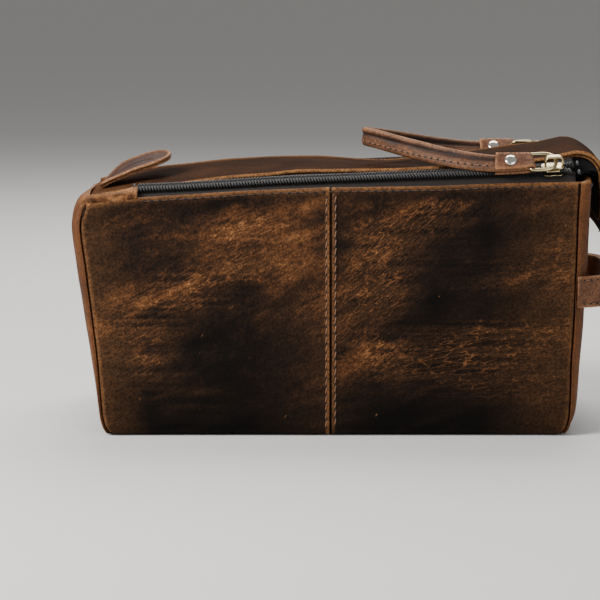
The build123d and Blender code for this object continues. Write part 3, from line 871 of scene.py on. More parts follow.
# ---------------------------------------------------------------- stitches
def stitch_row(threads, hole_shades, place, length_along, pitch=STITCH, thread=2.7, radius=0.31, phase=0.3, slant=None):
    """Stitches along place(t, lift), t in millimetres, added to the thread lump and to the lump of painted shade at the
    needle holes.
    """
    count = int((length_along - pitch * phase) / pitch)
    for k in range(count):
        t = pitch * (k + phase)
        lean = 0.25 * math.sin(k * 2.4)
        a, b = place(t, 0.12 + 0.05 * lean), place(t + thread, 0.12)
        if slant is not None:
            a, b = a - slant, b + slant
        threads.capsule(a, b, radius, across=None, flat=0.9)
        # Painted shade: a near-black capsule at each end of a stitch stands in for the shade inside its needle hole.
        for end in (t - 0.35, t + thread + 0.35):
            p, q = place(end - 0.22, 0.03), place(end + 0.22, 0.03)
            hole_shades.capsule(p, q, 0.42, sides=6)


tan_threads, dark_threads, hole_shades = Lump(), Lump(), Lump()
for face_side in (-1, 1):
    for offset, low in ((-2.15, 4), (2.3, 5)):
        x_row = CENTRE_SEAM + offset
        stitch_row(
            tan_threads, hole_shades,
            lambda t, lift, x=x_row, s=face_side, z0=low: front_point(x, z0 + t, s, lift + 0.15),
            smooth_curve(RIM, x_row) - low - 1.5, slant=Vector((0.28, 0, 0)),
        )

    def rim_place(t, lift, s=face_side):
        x = ZIP_START + 3 + t
        return front_point(x, smooth_curve(RIM, x) - 2.0, s, lift + 0.02)

    stitch_row(dark_threads, hole_shades, rim_place, seam_right(120) - ZIP_START - 7, thread=2.6, radius=0.26)


def right_rim_place(t, lift):
    share = 0.12 + t / (2 * half_depth(120))
    point, normal = end_outline(True, right_end_high.z - 3.2, 0.0, share)
    return point + normal * (lift + 0.05)


stitch_row(dark_threads, hole_shades, right_rim_place, 1.52 * half_depth(120), thread=2.6, radius=0.26)
tan_threads.piece("stitches_centre_seams", thread_tan, "leather_body", "bag")
dark_threads.piece("stitches_rim", thread_dark, "leather_body", "bag")
hole_shades.piece("stitch_hole_shade_bag", needle_hole_shade, "leather_body", "bag")


LID_NEAR = [(-121, 116.6), (-98, 119.9), (-83, 121.8), (-65, 124.3), (-41, 126.9), (-16, 129.0), (9, 129.3), (37, 130.0), (70, 132.0), (103, 134.9), (120, 138.4)]
LID_FAR = [(-121, 118.0), (-98, 123.2), (-70, 126.6), (-40, 129.0), (-10, 130.0), (25, 128.2), (52, 130.2), (74, 132.8), (102, 137.2), (120, 141.0)]
LID_HALF = lid_high.y


# ---------------------------------------------------------------- zips
def chain_point(x, across, up, side):
    """A place by the chain line: across towards the lid, up square to the leaning chain."""
    a = across * math.cos(ZIP_LEAN) - up * math.sin(ZIP_LEAN)
    b = across * math.sin(ZIP_LEAN) + up * math.cos(ZIP_LEAN)
    sway = 0.35 * ripple(x, side * 5, 0, 30, 2)
    low_start = 0.9 * ease((-x - 20) / 60)
    return Vector((x, side * (ZIP_Y - a), ZIP_Z + ZIP_SLOPE * x + b + 0.3 * sway - low_start))


def parting(x):
    """How far the rows have spread beyond the slider."""
    return 2.3 * ease((x - slider_high.x + 3) / 9)


for side, place in ((-1, "front"), (1, "back")):
    for row, turn, rides in (("outer", -1, "bag"), ("inner", 1, "lid")):
        lump = Lump()
        count = int((ZIP_END - ZIP_START - 0.4) / COIL_PITCH)
        for k in range(count):
            x = ZIP_START + 0.2 + COIL_PITCH * (k + (0.5 if turn > 0 else 0.0))
            spread = turn * parting(x)
            heads = [
                chain_point(x + 0.8, turn * 3.3 + spread, 0.4, side),
                chain_point(x + 0.6, turn * 2.8 + spread, 1.3, side),
                chain_point(x, turn * 1.4 + spread, 1.65, side),
                chain_point(x - 0.6, turn * 0.1 + spread, 1.35, side),
                chain_point(x - 0.8, -turn * 0.4 + spread, 0.9, side),
            ]
            lump.tube(heads, [0.34, 0.54, 0.58, 0.56, 0.34], sides=7)
        lump.piece(
            f"zip_coil_{row}_{place}", coil_nylon, "zip_coil", rides, (f"zip_teeth_{row}_{place}",)
        )

    columns = spaced(ZIP_START, ZIP_END, 2.2)
    verts, section = [], 16
    for x in columns:
        spread = parting(x)
        rim_z = smooth_curve(RIM, x)
        for k in range(section):
            t = k / (section - 1)
            if t < 0.3:
                verts.append(Vector((x, side * (half_depth(rim_z) - 3.3), rim_z - 7 + t / 0.3 * 6.2)))
            else:
                part = (t - 0.3) / 0.7
                top = chain_point(x, -0.35 - spread, 0.0, side)
                foot = Vector((x, side * (half_depth(rim_z) - 3.3), rim_z - 0.8))
                slack = -0.5 * math.sin(math.pi * part) + 0.16 * ripple(x, part * 6, 0, 7, 3) * math.sin(math.pi * part)
                verts.append(foot.lerp(top, part) + Vector((0, 0, slack)))
    faces = grid_faces(len(columns), section, flip=(side < 0))
    finish_piece(
        f"zip_tape_cloth_outer_{place}", verts, faces, tape_cloth, "bag",
        (f"zip_tape_outer_{place}",), thickness=0.5,
    )
    verts, section = [], 12
    for x in columns:
        spread = parting(x)
        for k in range(section):
            t = k / (section - 1)
            near, middle = chain_point(x, 0.35 + spread, 0.0, side), chain_point(x, 5.4 + spread, -0.05, side)
            edge_z = smooth_curve(LID_NEAR if side < 0 else LID_FAR, x)
            far = Vector((x, side * (LID_HALF - 3), edge_z - 2.2))
            place_on = near.lerp(middle, t / 0.4) if t < 0.4 else middle.lerp(far, (t - 0.4) / 0.6)
            verts.append(place_on + Vector((0, 0, 0.12 * ripple(x, t * 6, 0, 6, 5) * math.sin(math.pi * t))))
    faces = grid_faces(len(columns), section, flip=(side < 0))
    finish_piece(
        f"zip_tape_cloth_inner_{place}", verts, faces, inner_tape_cloth, "lid",
        (f"zip_tape_inner_{place}",), thickness=0.5,
    )
for row, turn, rides in (("outer", -1, "bag"), ("inner", 1, "lid")):
    lump = Lump()
    for side in (-1, 1):
        for x in (ZIP_START - 1.6, ZIP_END + 1.6):
            spread = turn * parting(x)
            lump.capsule(
                chain_point(x, turn * 0.9 + spread, 0.9, side), chain_point(x, turn * 2.9 + spread, 0.9, side), 0.85, sides=10
            )
    lump.piece(f"zip_stop_bars_{row}", coil_nylon, "zip_coil", rides, (f"zip_stops_{row}",))

# ---------------------------------------------------------------- lid strip
TIP_CENTRE_X, TIP_RADIUS = 122.0, 13.6


def lid_path(span, drop=0.0):
    """Centre line of the strip seen from the front: (x, z on near side, z on far side, direction) per place."""
    stations = []
    for x in spaced(lid_low.x - 1.5, TIP_CENTRE_X, 2.0):
        near, far = smooth_curve(LID_NEAR, x), smooth_curve(LID_FAR, x)
        step = 0.5
        rise = smooth_curve(LID_NEAR, x + step) - smooth_curve(LID_NEAR, x - step)
        heading = Vector((2 * step, 0, rise)).normalized()
        if x > TIP_CENTRE_X - 6:
            heading = heading.lerp(Vector((1, 0, 0.0)), ease((x - TIP_CENTRE_X + 6) / 6)).normalized()
        stations.append((x, near, far, heading))
    last_near, last_far = stations[-1][1], stations[-1][2]
    for k in range(1, 13):
        angle = math.pi / 2 * k / 12
        sink = TIP_RADIUS * (1 - math.cos(angle))
        heading = Vector((math.cos(angle), 0, -math.sin(angle)))
        stations.append((TIP_CENTRE_X + TIP_RADIUS * math.sin(angle), last_near - sink, last_far - sink, heading))
    for k in range(1, 13):
        fall = span * k / 12
        near, far = last_near - TIP_RADIUS - fall, last_far - TIP_RADIUS - fall
        stations.append((TIP_CENTRE_X + TIP_RADIUS + 0.7 * math.sin(fall / 9), near, far, Vector((0, 0, -1))))
    return stations


def lid_band(name, stations, half_width, thickness, sink, material, replaced=(), worn=0.8, tip_round=9.0):
    """A closed strip of leather or cloth following the lid's path, sunk below its face."""
    across_count = 34
    verts, tone, wear = [], [], []
    total = len(stations)
    radius = thickness / 2
    for index, (x, near, far, heading) in enumerate(stations):
        normal = Vector((-heading.z, 0, heading.x))
        from_tip = (total - 1 - index) * 2.4
        half = half_width
        if from_tip < tip_round:
            half = half_width - tip_round + math.sqrt(tip_round**2 - (tip_round - from_tip) ** 2)
        ring = []
        for k in range(across_count + 1):
            ring.append((-1 + 2 * k / across_count, 1))
        upper = [(share * (half - radius), radius) for share, _ in ring]
        right_cap = [
            (half - radius + radius * math.sin(math.pi * k / 5), radius * math.cos(math.pi * k / 5)) for k in range(1, 5)
        ]
        lower = [(-share * (half - radius), -radius) for share, _ in ring]
        left_cap = [
            (-half + radius - radius * math.sin(math.pi * k / 5), -radius * math.cos(math.pi * k / 5))
            for k in range(1, 5)
        ]
        for y, up in upper + right_cap + lower + left_cap:
            share = ease((y + half) / (2 * half))
            z = near * (1 - share) + far * share
            crown = 0.8 * (1 - (y / half_width) ** 2) * ease((x + 110) / 30)
            crown += 0.5 * ripple(x, y, 0, 34, 2) * (1 - (y / half_width) ** 4)
            edge_wave = 0.5 * ripple(x, 0 if y < 0 else 50, 0, 22, 6) * (y / half_width) ** 2
            lip = 0.35 * math.exp(-(((half - abs(y) - 1.4) / 0.9) ** 2)) if up > 0 else 0.0
            lip += 1.1 * math.exp(-(((half - y) / 1.8) ** 2)) * ease((112 - x) / 20)
            base = Vector((x, y, z)) + normal * (up + crown + edge_wave + lip - radius - sink)
            verts.append(base)
            edge = math.exp(-(((half - abs(y)) / 1.15) ** 2)) + math.exp(-((from_tip / 1.4) ** 2))
            wear.append(clamp(worn * edge))
            tone.append(0.40 + 0.16 * ripple(x, y, 0, 26, 4) + 0.30 * ease((-84 - x) / 24))
    columns = 2 * (across_count + 1) + 8
    faces = grid_faces(total, columns, wrap=True, flip=True)
    last = (total - 1) * columns
    faces.append([k for k in range(columns)])
    faces.append([last + k for k in range(columns)][::-1])
    strip = finish_piece(name, verts, faces, material, None, replaced, tone, wear)
    return strip


lid_stations = lid_path(span=27.0)
lid_face = lid_band("leather_lid_strip", lid_stations, LID_HALF + 0.3, 1.7, 0.0, lid_leather, ("lid_strip",))
under_stations = [s for s in lid_path(span=22.0) if s[0] > lid_low.x + 24]
lid_under = lid_band(
    "leather_lid_under_ply", under_stations, LID_HALF - 0.9, 1.1, 2.0, lid_leather, ("lid_lining",), worn=0.6
)
for side, place in ((-1, "front"), (1, "back")):
    verts, across_count = [], 8
    turned = [s for s in lid_stations if s[0] > ZIP_END - 12]
    for index, (x, near, far, heading) in enumerate(turned):
        normal = Vector((-heading.z, 0, heading.x))
        drop = math.degrees(math.atan2(-heading.z, heading.x))
        width = 0.8 + 9.5 * (1 - ease((drop - 35) / 45))
        root = Vector((x, side * (LID_HALF - 3.0), near if side < 0 else far)) - normal * 1.8
        for k in range(across_count):
            part = k / (across_count - 1)
            verts.append(root - normal * width * part + Vector((0, side * 0.8 * math.sin(2.2 * part), 0)))
    faces = grid_faces(len(turned), across_count, flip=(side > 0))
    finish_piece(f"zip_tape_turn_{place}", verts, faces, inner_tape_cloth, "lid", (), thickness=0.5)

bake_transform(lid_face)
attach(lid_under, "lid")


# ---------------------------------------------------------------- shoulders beside the zip starts
def shoulder(side):
    """Leather that closes the mouth from the end panel to the start of the zip, with a curled end."""
    start_x, end_x = seam_left(115) - 2.6, ZIP_START - 0.4
    columns = spaced(start_x, end_x, 0.9) + [end_x + 0.7, end_x + 1.0, end_x + 0.8, end_x + 0.1]
    verts, tone, wear = [], [], []
    section = 30
    for index, x in enumerate(columns):
        curl = max(0, index - (len(columns) - 5))
        rim = smooth_curve(RIM, min(x, end_x))
        depth = half_depth(rim)
        lid_edge = smooth_curve(LID_NEAR if side < 0 else LID_FAR, x)
        for k in range(section):
            t = k / (section - 1)
            if t < 0.2:
                y, z = depth - 1.0 + 1.3 * ease(t / 0.2), rim - 3.2 + t / 0.2 * 3.6
            elif t < 0.5:
                angle = math.pi / 2 * (t - 0.2) / 0.3
                y, z = depth + 0.3 - 3.4 * (1 - math.cos(angle)), rim + 0.4 + 2.4 * math.sin(angle)
            else:
                part = (t - 0.5) / 0.5
                y = depth - 3.1 - (depth - 3.1 - LID_HALF - 0.3) * part
                z = (rim + 2.8) * (1 - ease(part)) + max(lid_edge - 0.6, rim + 1.8) * ease(part)
                z += 1.9 * math.sin(math.pi * part) * ease((x - end_x + 10) / 9)
            swell = 1.1 * ripple(x, side * 9, t * 20, 6, 3) * ease(t / 0.2)
            droop = (0.0, 0.35, 0.9, 1.6, 2.1)[curl]
            tuck = 1 - ease((x - start_x) / 5)
            y, z = y - 2.6 * tuck * (1 - t), z - 2.2 * tuck
            verts.append(Vector((x, side * (y - (droop * 0.4 if t < 0.5 else 0)), z + swell - (droop if t >= 0.2 else droop * 0.4))))
            wear.append(clamp(0.75 * math.exp(-(((end_x + 1 - x) / 1.3) ** 2)) + 0.3 * math.exp(-(((t - 0.42) / 0.1) ** 2))))
            tone.append(0.72 + 0.38 * ripple(x, t * 20, 0, 5, 3))
    faces = grid_faces(len(columns), section, flip=(side < 0))
    place = "front" if side < 0 else "back"
    finish_piece(
        f"leather_zip_shoulder_{place}", verts, faces, body_leather, "bag",
        (f"zip_facing_{place}",), tone, wear, thickness=1.1,
    )


shoulder(-1)
shoulder(1)


# ---------------------------------------------------------------- end tab
TAB_ROLL = math.radians(9)


def tab_piece(name, lift, thickness, trim, replaced, recess):
    """A rounded tab of leather that bends as it rises from its root."""
    length, half = 38.0 - trim, 13.0 - trim
    rings = [(0.0, -0.5), (0.0, 0.0), (0.15, 0.35), (0.5, 0.5), (1.3, 0.5), (2.1, 0.5 - recess), (3.2, 0.5 - recess)]
    rings += [(5.5, 0.5 - recess), (8.5, 0.5 - recess), (11.0, 0.5 - recess)]
    lower = [(11.0, -0.5), (8.0, -0.5), (4.0, -0.5), (1.0, -0.5), (0.2, -0.42)]
    count = 64

    def outline(inset, k):
        t = k / (count - 1)
        w = max(half - inset, 0.6)
        straight = length - half
        run = 2 * (straight - inset * 0.2) + math.pi * w
        s = t * run
        leg = straight - inset * 0.2
        if s < leg:
            return inset * 0.2 + s, -w
        if s < leg + math.pi * w:
            angle = (s - leg) / w
            return straight + w * math.sin(angle), -w * math.cos(angle)
        return straight - (s - leg - math.pi * w), w

    def place(along, across, up):
        steps = 12
        x, z = tab_pivot.x - 1.2, tab_pivot.z - 0.9
        for i in range(steps):
            angle = math.radians(38 - 21 * ease((i + 0.5) / steps * along / 38 * 1.5))
            x += along / steps * math.cos(angle)
            z += along / steps * math.sin(angle)
        angle = math.radians(38 - 21 * ease(along / 38 * 1.5))
        cup = 0.6 * (across / 13) ** 2
        up = up + cup + lift + math.sin(TAB_ROLL) * across * ease(along / 14)
        return Vector((x - up * math.sin(angle), across, z + up * math.cos(angle)))

    verts, tone, wear = [], [], []
    for inset, level in rings + lower:
        for k in range(count):
            along, across = outline(inset, k)
            verts.append(place(along, across, level * thickness))
            wear.append(clamp(0.95 * math.exp(-((inset / 1.5) ** 2))))
            tone.append(0.30 + 0.14 * ripple(along, across, lift, 9, 3) if level > 0 else 0.5)
    rows = len(rings) + len(lower)
    faces = []
    for r in range(rows):
        n = (r + 1) % rows
        for k in range(count - 1):
            faces.append([r * count + k, n * count + k, n * count + k + 1, r * count + k + 1])
    for k in range(count // 2 - 1):
        top = (len(rings) - 1) * count
        faces.append([top + k, top + count - 1 - k, top + count - 2 - k, top + k + 1])
        low = len(rings) * count
        faces.append([low + k, low + k + 1, low + count - 2 - k, low + count - 1 - k])
    for r in range(rows):
        n = (r + 1) % rows
    root_left = [r * count for r in range(rows)]
    root_right = [r * count + count - 1 for r in range(rows)]
    for r in range(len(rings) - 1):
        mirror_r = rows - 1 - r if r < len(lower) else len(rings)
    faces.append(root_left[:len(rings)] + root_right[:len(rings)][::-1])
    faces.append((root_left[len(rings):] + [root_left[0]])[::-1] + root_right[len(rings):] + [root_right[0]])
    finish_piece(name, verts, [f[::-1] for f in faces], strap_leather, "tab", replaced, tone, wear)
    return place


tab_place = tab_piece("leather_tab_outer", 1.5, 1.5, 0.0, ("end_tab_outer",), 0.45)
tab_piece("leather_tab_inner", 0.0, 1.1, 0.7, ("end_tab_inner",), 0.0)


# ---------------------------------------------------------------- sliders, rings and rivets
def slider_frame(side):
    along = Vector((1, 0, ZIP_SLOPE)).normalized()
    upright = Vector((-ZIP_SLOPE, 0, 1)).normalized()
    up = upright * math.cos(SLIDER_LEAN) + Vector((0, side, 0)) * math.sin(SLIDER_LEAN)
    across = up.cross(along) * side
    centre = Vector(((slider_low.x + slider_high.x) / 2, side * ZIP_Y, 0))
    centre.z = ZIP_Z + ZIP_SLOPE * centre.x
    return centre, along, across, up


def bevelled_slab(lump, centre, along, across, up, outline, low, high, bevel):
    """A slab with a rounded edge: outline points are (along, across)."""
    start = len(lump.verts)
    cx = sum(p[0] for p in outline) / len(outline)
    cy = sum(p[1] for p in outline) / len(outline)
    rings = []
    for k in range(5):
        angle = math.pi / 2 * k / 4
        rings.append((bevel * (1 - math.sin(angle)), low + bevel * (1 - math.cos(angle))))
    for k in range(5):
        angle = math.pi / 2 * k / 4
        rings.append((bevel * (1 - math.cos(angle)), high - bevel * (1 - math.sin(angle))))
    for inset, level in rings:
        for a, c in outline:
            reach = math.hypot(a - cx, c - cy)
            share = (reach - inset) / reach
            lump.verts.append(centre + along * (cx + (a - cx) * share) + across * (cy + (c - cy) * share) + up * level)
    count = len(outline)
    lump.faces += grid_faces(len(rings), count, wrap=True, start=start)
    lump.faces.append([start + k for k in range(count)][::-1])
    lump.faces.append([start + (len(rings) - 1) * count + k for k in range(count)])


PIVOT_SHIFT = 1.4


def make_slider(side):
    centre, along, across, up = slider_frame(side)
    lump = Lump()
    top = []
    for k in range(40):
        angle = 2 * math.pi * k / 40
        a = 5.5 * math.copysign(abs(math.cos(angle)) ** 0.62, math.cos(angle))
        waist = 4.3 - 0.6 * ease((1 - a / 5.5) / 2) - 0.7 * math.exp(-(((a - PIVOT_SHIFT) / 1.9) ** 2))
        c = waist * math.copysign(abs(math.sin(angle)) ** 0.62, math.sin(angle))
        top.append((a, c))
    order = 1 if side < 0 else -1
    outline = top if side < 0 else [(a, -c) for a, c in top][::-1]
    outline = [(a, c) for a, c in outline]
    bevelled_slab(lump, centre, along, across, up, outline if order > 0 else outline[::-1], 1.8, 2.6, 0.35)
    bottom = [(a * 0.94, c * 0.96) for a, c in outline if True]
    bevelled_slab(lump, centre, along, across, up, bottom if order > 0 else bottom[::-1], -2.0, -1.1, 0.35)
    for lean in (-1, 1):
        rail = [centre + along * a + across * lean * 3.95 + up * 1.25 for a in (-3.6, -3.0, 0.0, 2.8, 3.4)]
        lump.tube(rail, [0.35, 0.75, 0.8, 0.75, 0.35], sides=10, across=up, flat=0.75)
    neck = [centre + along * 3.9 + up * h for h in (-1.6, 0.0, 2.4)]
    lump.tube(neck, [0.5, 0.5, 0.5], sides=8, across=along)
    arch = []
    shift, half, foot, crest = 0.7, 4.25, 2.75, 7.35
    for k in range(25):
        angle = math.pi * k / 24
        a = shift - half * math.copysign(abs(math.cos(angle)) ** 0.45, math.cos(angle))
        h = foot + (crest - foot) * abs(math.sin(angle)) ** 0.5
        arch.append((a, h))
    stations = []
    for k, (a, h) in enumerate(arch):
        a0, h0 = arch[max(k - 1, 0)]
        a1, h1 = arch[min(k + 1, len(arch) - 1)]
        heading = (along * (a1 - a0) + up * (h1 - h0)).normalized()
        stations.append((centre + along * a + up * h, across, across.cross(heading)))
    width = 3.3
    verts, faces = swept_band(stations, band_section(width, 0.95, per_side=6))
    start = len(lump.verts)
    lump.verts += verts
    lump.faces += [[i + start for i in f] for f in faces]
    place = "front" if side < 0 else "back"
    lump.piece(f"slider_{place}_brass", brass, "antique_brass", f"slider_{place}", (f"slider_{place}",))


RING_ROLL = 18.0


def make_ring(side):
    """D-ring: straight bar in the strap, bowed wire through the slider's crown."""
    centre, along, across, up = slider_frame(side)
    turn = Matrix.Rotation(-side * math.radians(RING_ROLL), 3, along)
    across, up = turn @ across, turn @ up
    low, high = box_mm("pull_ring_front" if side < 0 else "pull_ring_back")
    heart = Vector((high.x - 0.9, side * abs((low.y + high.y) / 2), pivot.z))
    length, half = 13.2, 5.85
    points = []
    for k in range(61):
        angle = 2 * math.pi * k / 60
        c, s = math.cos(angle), math.sin(angle)
        a = -length / 2 + length / 2 * math.copysign(abs(c) ** (0.85 if c > 0 else 0.28), c)
        w = half * math.copysign(abs(s) ** (0.80 if c > 0 else 0.42), s)
        points.append(heart + along * a + across * w + up * (-0.5 * (1 + math.cos(angle)) * 0.0))
    lump = Lump()
    ring_points = points[:-1]
    count = len(ring_points)
    sides = 12
    for i, point in enumerate(ring_points):
        heading = (ring_points[(i + 1) % count] - ring_points[i - 1]).normalized()
        out = heading.cross(up).normalized()
        for k in range(sides):
            angle = 2 * math.pi * k / sides
            lump.verts.append(point + out * 0.92 * math.cos(angle) + up * 0.92 * math.sin(angle))
    for i in range(count):
        for k in range(sides):
            n, m = (i + 1) % count, (k + 1) % sides
            lump.faces.append([i * sides + k, i * sides + m, n * sides + m, n * sides + k])
    place = "front" if side < 0 else "back"
    lump.piece(f"pull_ring_{place}_brass", brass, "antique_brass", "pull", (f"pull_ring_{place}",))
    return heart - along * length


ring_bars = {}
for side in (-1, 1):
    make_slider(side)
    ring_bars[side] = make_ring(side)

# ---------------------------------------------------------------- pull strap
STRAP_WIDTH, STRAP_THICK = 9.6, 2.7
bar = ring_bars[-1]
STRAP_LINE = [
    (Vector((bar.x + 0.6, bar.y - 0.1, bar.z)), 37.0),
    (Vector((89.0, bar.y - 0.8, bar.z - 0.4)), 45.0),
    (Vector((76.0, -42.4, 133.6)), 52.0),
    (Vector((58.0, -35.0, 135.6)), 64.0),
    (Vector((38.0, -21.0, 139.4)), 80.0),
    (Vector((24.0, -8.0, 142.4)), 88.0),
    (Vector((18.4, -2.6, 143.4)), 90.0),
    (Vector((17.0, 0.0, 143.6)), 90.0),
]
STRAP_LINE += [(Vector((c.x, -c.y, c.z)), 180 - tilt) for c, tilt in STRAP_LINE[-2::-1]]


def strap_frames(steps=14):
    """Smooth frames along the pull strap: centre, across axis, outward axis, and distance run."""
    frames, run, last = [], 0.0, None
    knots = STRAP_LINE
    for i in range(len(knots) - 1):
        p0, p1, p2, p3 = (knots[max(i - 1, 0)], knots[i], knots[i + 1], knots[min(i + 2, len(knots) - 1)])
        for k in range(steps):
            t = k / steps
            weights = (
                0.5 * (-t + 2 * t**2 - t**3), 0.5 * (2 - 5 * t**2 + 3 * t**3),
                0.5 * (t + 4 * t**2 - 3 * t**3), 0.5 * (-(t**2) + t**3),
            )
            slopes = (
                0.5 * (-1 + 4 * t - 3 * t**2), 0.5 * (-10 * t + 9 * t**2),
                0.5 * (1 + 8 * t - 9 * t**2), 0.5 * (-2 * t + 3 * t**2),
            )
            centre = sum((p[0] * w for p, w in zip((p0, p1, p2, p3), weights)), Vector((0, 0, 0)))
            heading = sum((p[0] * w for p, w in zip((p0, p1, p2, p3), slopes)), Vector((0, 0, 0))).normalized()
            tilt = math.radians(sum(p[1] * w for p, w in zip((p0, p1, p2, p3), weights)))
            side = Vector((0, 0, 1)).cross(heading).normalized()
            upright = heading.cross(side)
            across = upright * math.sin(tilt) - side * math.cos(tilt)
            across.normalize()
            if last is not None:
                run += (centre - last).length
            last = centre
            frames.append((centre, across, across.cross(heading).normalized(), run))
    return frames


strap_run = strap_frames()
strap_length = strap_run[-1][3]


def strap_piece():
    section = band_section(STRAP_WIDTH, STRAP_THICK, per_side=16)
    verts, tone, wear = [], [], []
    count = len(strap_run)
    for centre, across, out, run in strap_run:
        for a, u in section:
            outside = -u if u < 0 else 0.0
            groove = 0.75 * math.exp(-(((a - 1.2) / 0.9) ** 2)) if abs(u) > STRAP_THICK * 0.45 else 0.0
            puff = 0.25 * ripple(run, a, u, 9, 4)
            direction = 1 if u > 0 else -1
            verts.append(centre + across * a + out * (u - direction * groove * 0.7 + direction * puff * 0.3))
            # Lighter band by the folded upper edge: rubbed wear on the fold, with a painted highlight along it.
            top = math.exp(-(((a - 4.1) / 1.0) ** 2))
            low = math.exp(-(((a + 2.2) / 2.3) ** 2))
            wear.append(clamp(0.62 * top + 0.25 * low + 0.5 * math.exp(-(((a + 4.7) / 0.5) ** 2))))
            # Painted shade: the tone drops in a stripe along the groove pressed into the strap's faces.
            tone.append(0.36 + 0.14 * low - 0.34 * math.exp(-(((a - 1.4) / 1.1) ** 2)) + 0.2 * ripple(run, a, 0, 10, 2))
    columns = len(section)
    faces = grid_faces(count, columns, wrap=True, flip=False)
    faces.append([k for k in range(columns)][::-1])
    faces.append([(count - 1) * columns + k for k in range(columns)])
    finish_piece("leather_pull_strap", verts, faces, strap_leather, "pull", ("pull_strap",), tone, wear)


strap_piece()


def strap_at(run):
    """Frame of the strap at a distance from its front end."""
    run = clamp(run, 0.0, strap_length)
    for before, after in zip(strap_run, strap_run[1:]):
        if after[3] >= run:
            part = (run - before[3]) / max(after[3] - before[3], 1e-6)
            return tuple(before[i].lerp(after[i], part) for i in range(3))
    return strap_run[-1][:3]


strap_threads, strap_hole_shades = Lump(), Lump()


def strap_stitch(t, lift):
    centre, across, out = strap_at(20 + t)
    return centre + across * -2.4 - out * (STRAP_THICK / 2 + lift + 0.05)


def strap_stitch_inside(t, lift):
    centre, across, out = strap_at(20 + t)
    return centre + across * -2.4 + out * (STRAP_THICK / 2 + lift + 0.05)


for place_stitch in (strap_stitch, strap_stitch_inside):
    stitch_row(strap_threads, strap_hole_shades, place_stitch, strap_length - 40, pitch=3.6, thread=2.4, radius=0.3)
strap_threads.piece("stitches_pull_strap", thread_tan, "leather_strap", "pull")
strap_hole_shades.piece("stitch_hole_shade_pull_strap", needle_hole_shade, "leather_strap", "pull")


def strap_wrap(side):
    """The end of the strap taken round the ring's bar and laid back on itself."""
    along_out = []
    for k in range(20):
        t = k / 19
        run = 0.6 + 16.5 * t
        run = run if side < 0 else strap_length - run
        centre, across, out = strap_at(run)
        along_out.append((centre, across, out, t))
    top_layer = STRAP_THICK / 2 + 0.75
    section = band_section(STRAP_WIDTH + 0.5, 1.4, per_side=8)
    sign = -1 if side < 0 else -1
    stations = []
    for centre, across, out, t in reversed(along_out):
        stations.append((centre + out * sign * (top_layer - 0.2 * (1 - t)), across, out * -sign * -1))
    first_centre, first_across, first_out, _ = along_out[0]
    ahead = (along_out[0][0] - along_out[1][0]).normalized()
    for k in range(1, 8):
        angle = math.pi * k / 8
        centre = first_centre + ahead * 2.1 * math.sin(angle) + first_out * sign * (top_layer - 0.2) * math.cos(angle)
        up = first_out * sign * math.cos(angle) + ahead * math.sin(angle)
        stations.append((centre, first_across, up * (-sign * -1) * (1 if sign < 0 else 1)))
    for centre, across, out, t in along_out:
        stations.append((centre - out * sign * (top_layer - 0.2 * (1 - t)), across, -out * -sign * -1))
    fixed = []
    for i, (centre, across, up) in enumerate(stations):
        a, b = stations[max(i - 1, 0)][0], stations[min(i + 1, len(stations) - 1)][0]
        heading = (b - a).normalized()
        fixed.append((centre, across, across.cross(heading).normalized()))
    verts, faces = swept_band(fixed, section)
    columns = len(section)
    wear, tone = [], []
    for i in range(len(fixed)):
        for a, u in section:
            end = min(i, len(fixed) - 1 - i)
            wear.append(clamp(0.8 * math.exp(-(((STRAP_WIDTH / 2 - abs(a)) / 0.7) ** 2)) + 0.8 * math.exp(-((end / 1.2) ** 2))))
            tone.append(0.58 + 0.15 * ripple(i, a, side, 4, 2))
    place = "front" if side < 0 else "back"
    finish_piece(f"leather_strap_wrap_{place}", verts, faces, strap_leather, "pull", (), tone, wear)

    run = 9.8 if side < 0 else strap_length - 9.8
    centre, across, out = strap_at(run)
    lump = Lump()
    for face in (-1, 1):
        axis = out * face
        other = axis.cross(across)
        base = centre + axis * (top_layer + 0.6)
        start = len(lump.verts)
        rings = [(2.95, -0.3), (3.05, 0.0), (2.95, 0.3), (2.5, 0.62), (1.7, 0.86), (0.8, 0.97), (0.15, 1.0)]
        sides = 28
        for radius, height in rings:
            for k in range(sides):
                angle = 2 * math.pi * k / sides
                lump.verts.append(base + across * radius * math.cos(angle) + other * radius * math.sin(angle) + axis * height)
        lump.faces += grid_faces(len(rings), sides, wrap=True, start=start, flip=True)
        lump.faces.append([start + k for k in range(sides)])
        lump.faces.append([start + (len(rings) - 1) * sides + k for k in range(sides)][::-1])
    lump.tube([centre - out * 2.4, centre + out * 2.4], [1.2, 1.2], sides=10)
    lump.piece(f"rivet_{place}_nickel", nickel, "rivet_nickel", "pull", (f"rivet_{place}",))


strap_wrap(-1)
strap_wrap(1)


# ---------------------------------------------------------------- end handle
def handle_path(sink):
    """Plan of the end handle, seam to seam, sunk under its outer face."""
    root_x, root_y = seam_right(71) + 1.2, half_depth(71) - 1.5
    reach, knee = handle_high.x - 0.9 - sink, 36.0
    corners = [Vector((root_x, -root_y + sink * 0.8, 0)), Vector((reach, -knee + sink * 0.5, 0))]
    corners += [Vector((reach, knee - sink * 0.5, 0)), Vector((root_x, root_y - sink * 0.8, 0))]
    points = []
    cut = 12.0
    for k in range(12):
        points.append(corners[0].lerp(corners[1], k / 12 * (1 - cut / (corners[1] - corners[0]).length)))
    for index in (1, 2):
        before = (corners[index - 1] - corners[index]).normalized() * cut + corners[index]
        after = (corners[index + 1] - corners[index]).normalized() * cut + corners[index]
        for k in range(11):
            t = k / 10
            points.append(before * (1 - t) ** 2 + corners[index] * 2 * t * (1 - t) + after * t**2)
        if index == 1:
            for k in range(1, 12):
                t = k / 12
                end = (corners[1] - corners[2]).normalized() * cut + corners[2]
                points.append(after.lerp(end, t))
    tail = points[-1]
    for k in range(1, 13):
        points.append(tail.lerp(corners[3], k / 12))
    return points


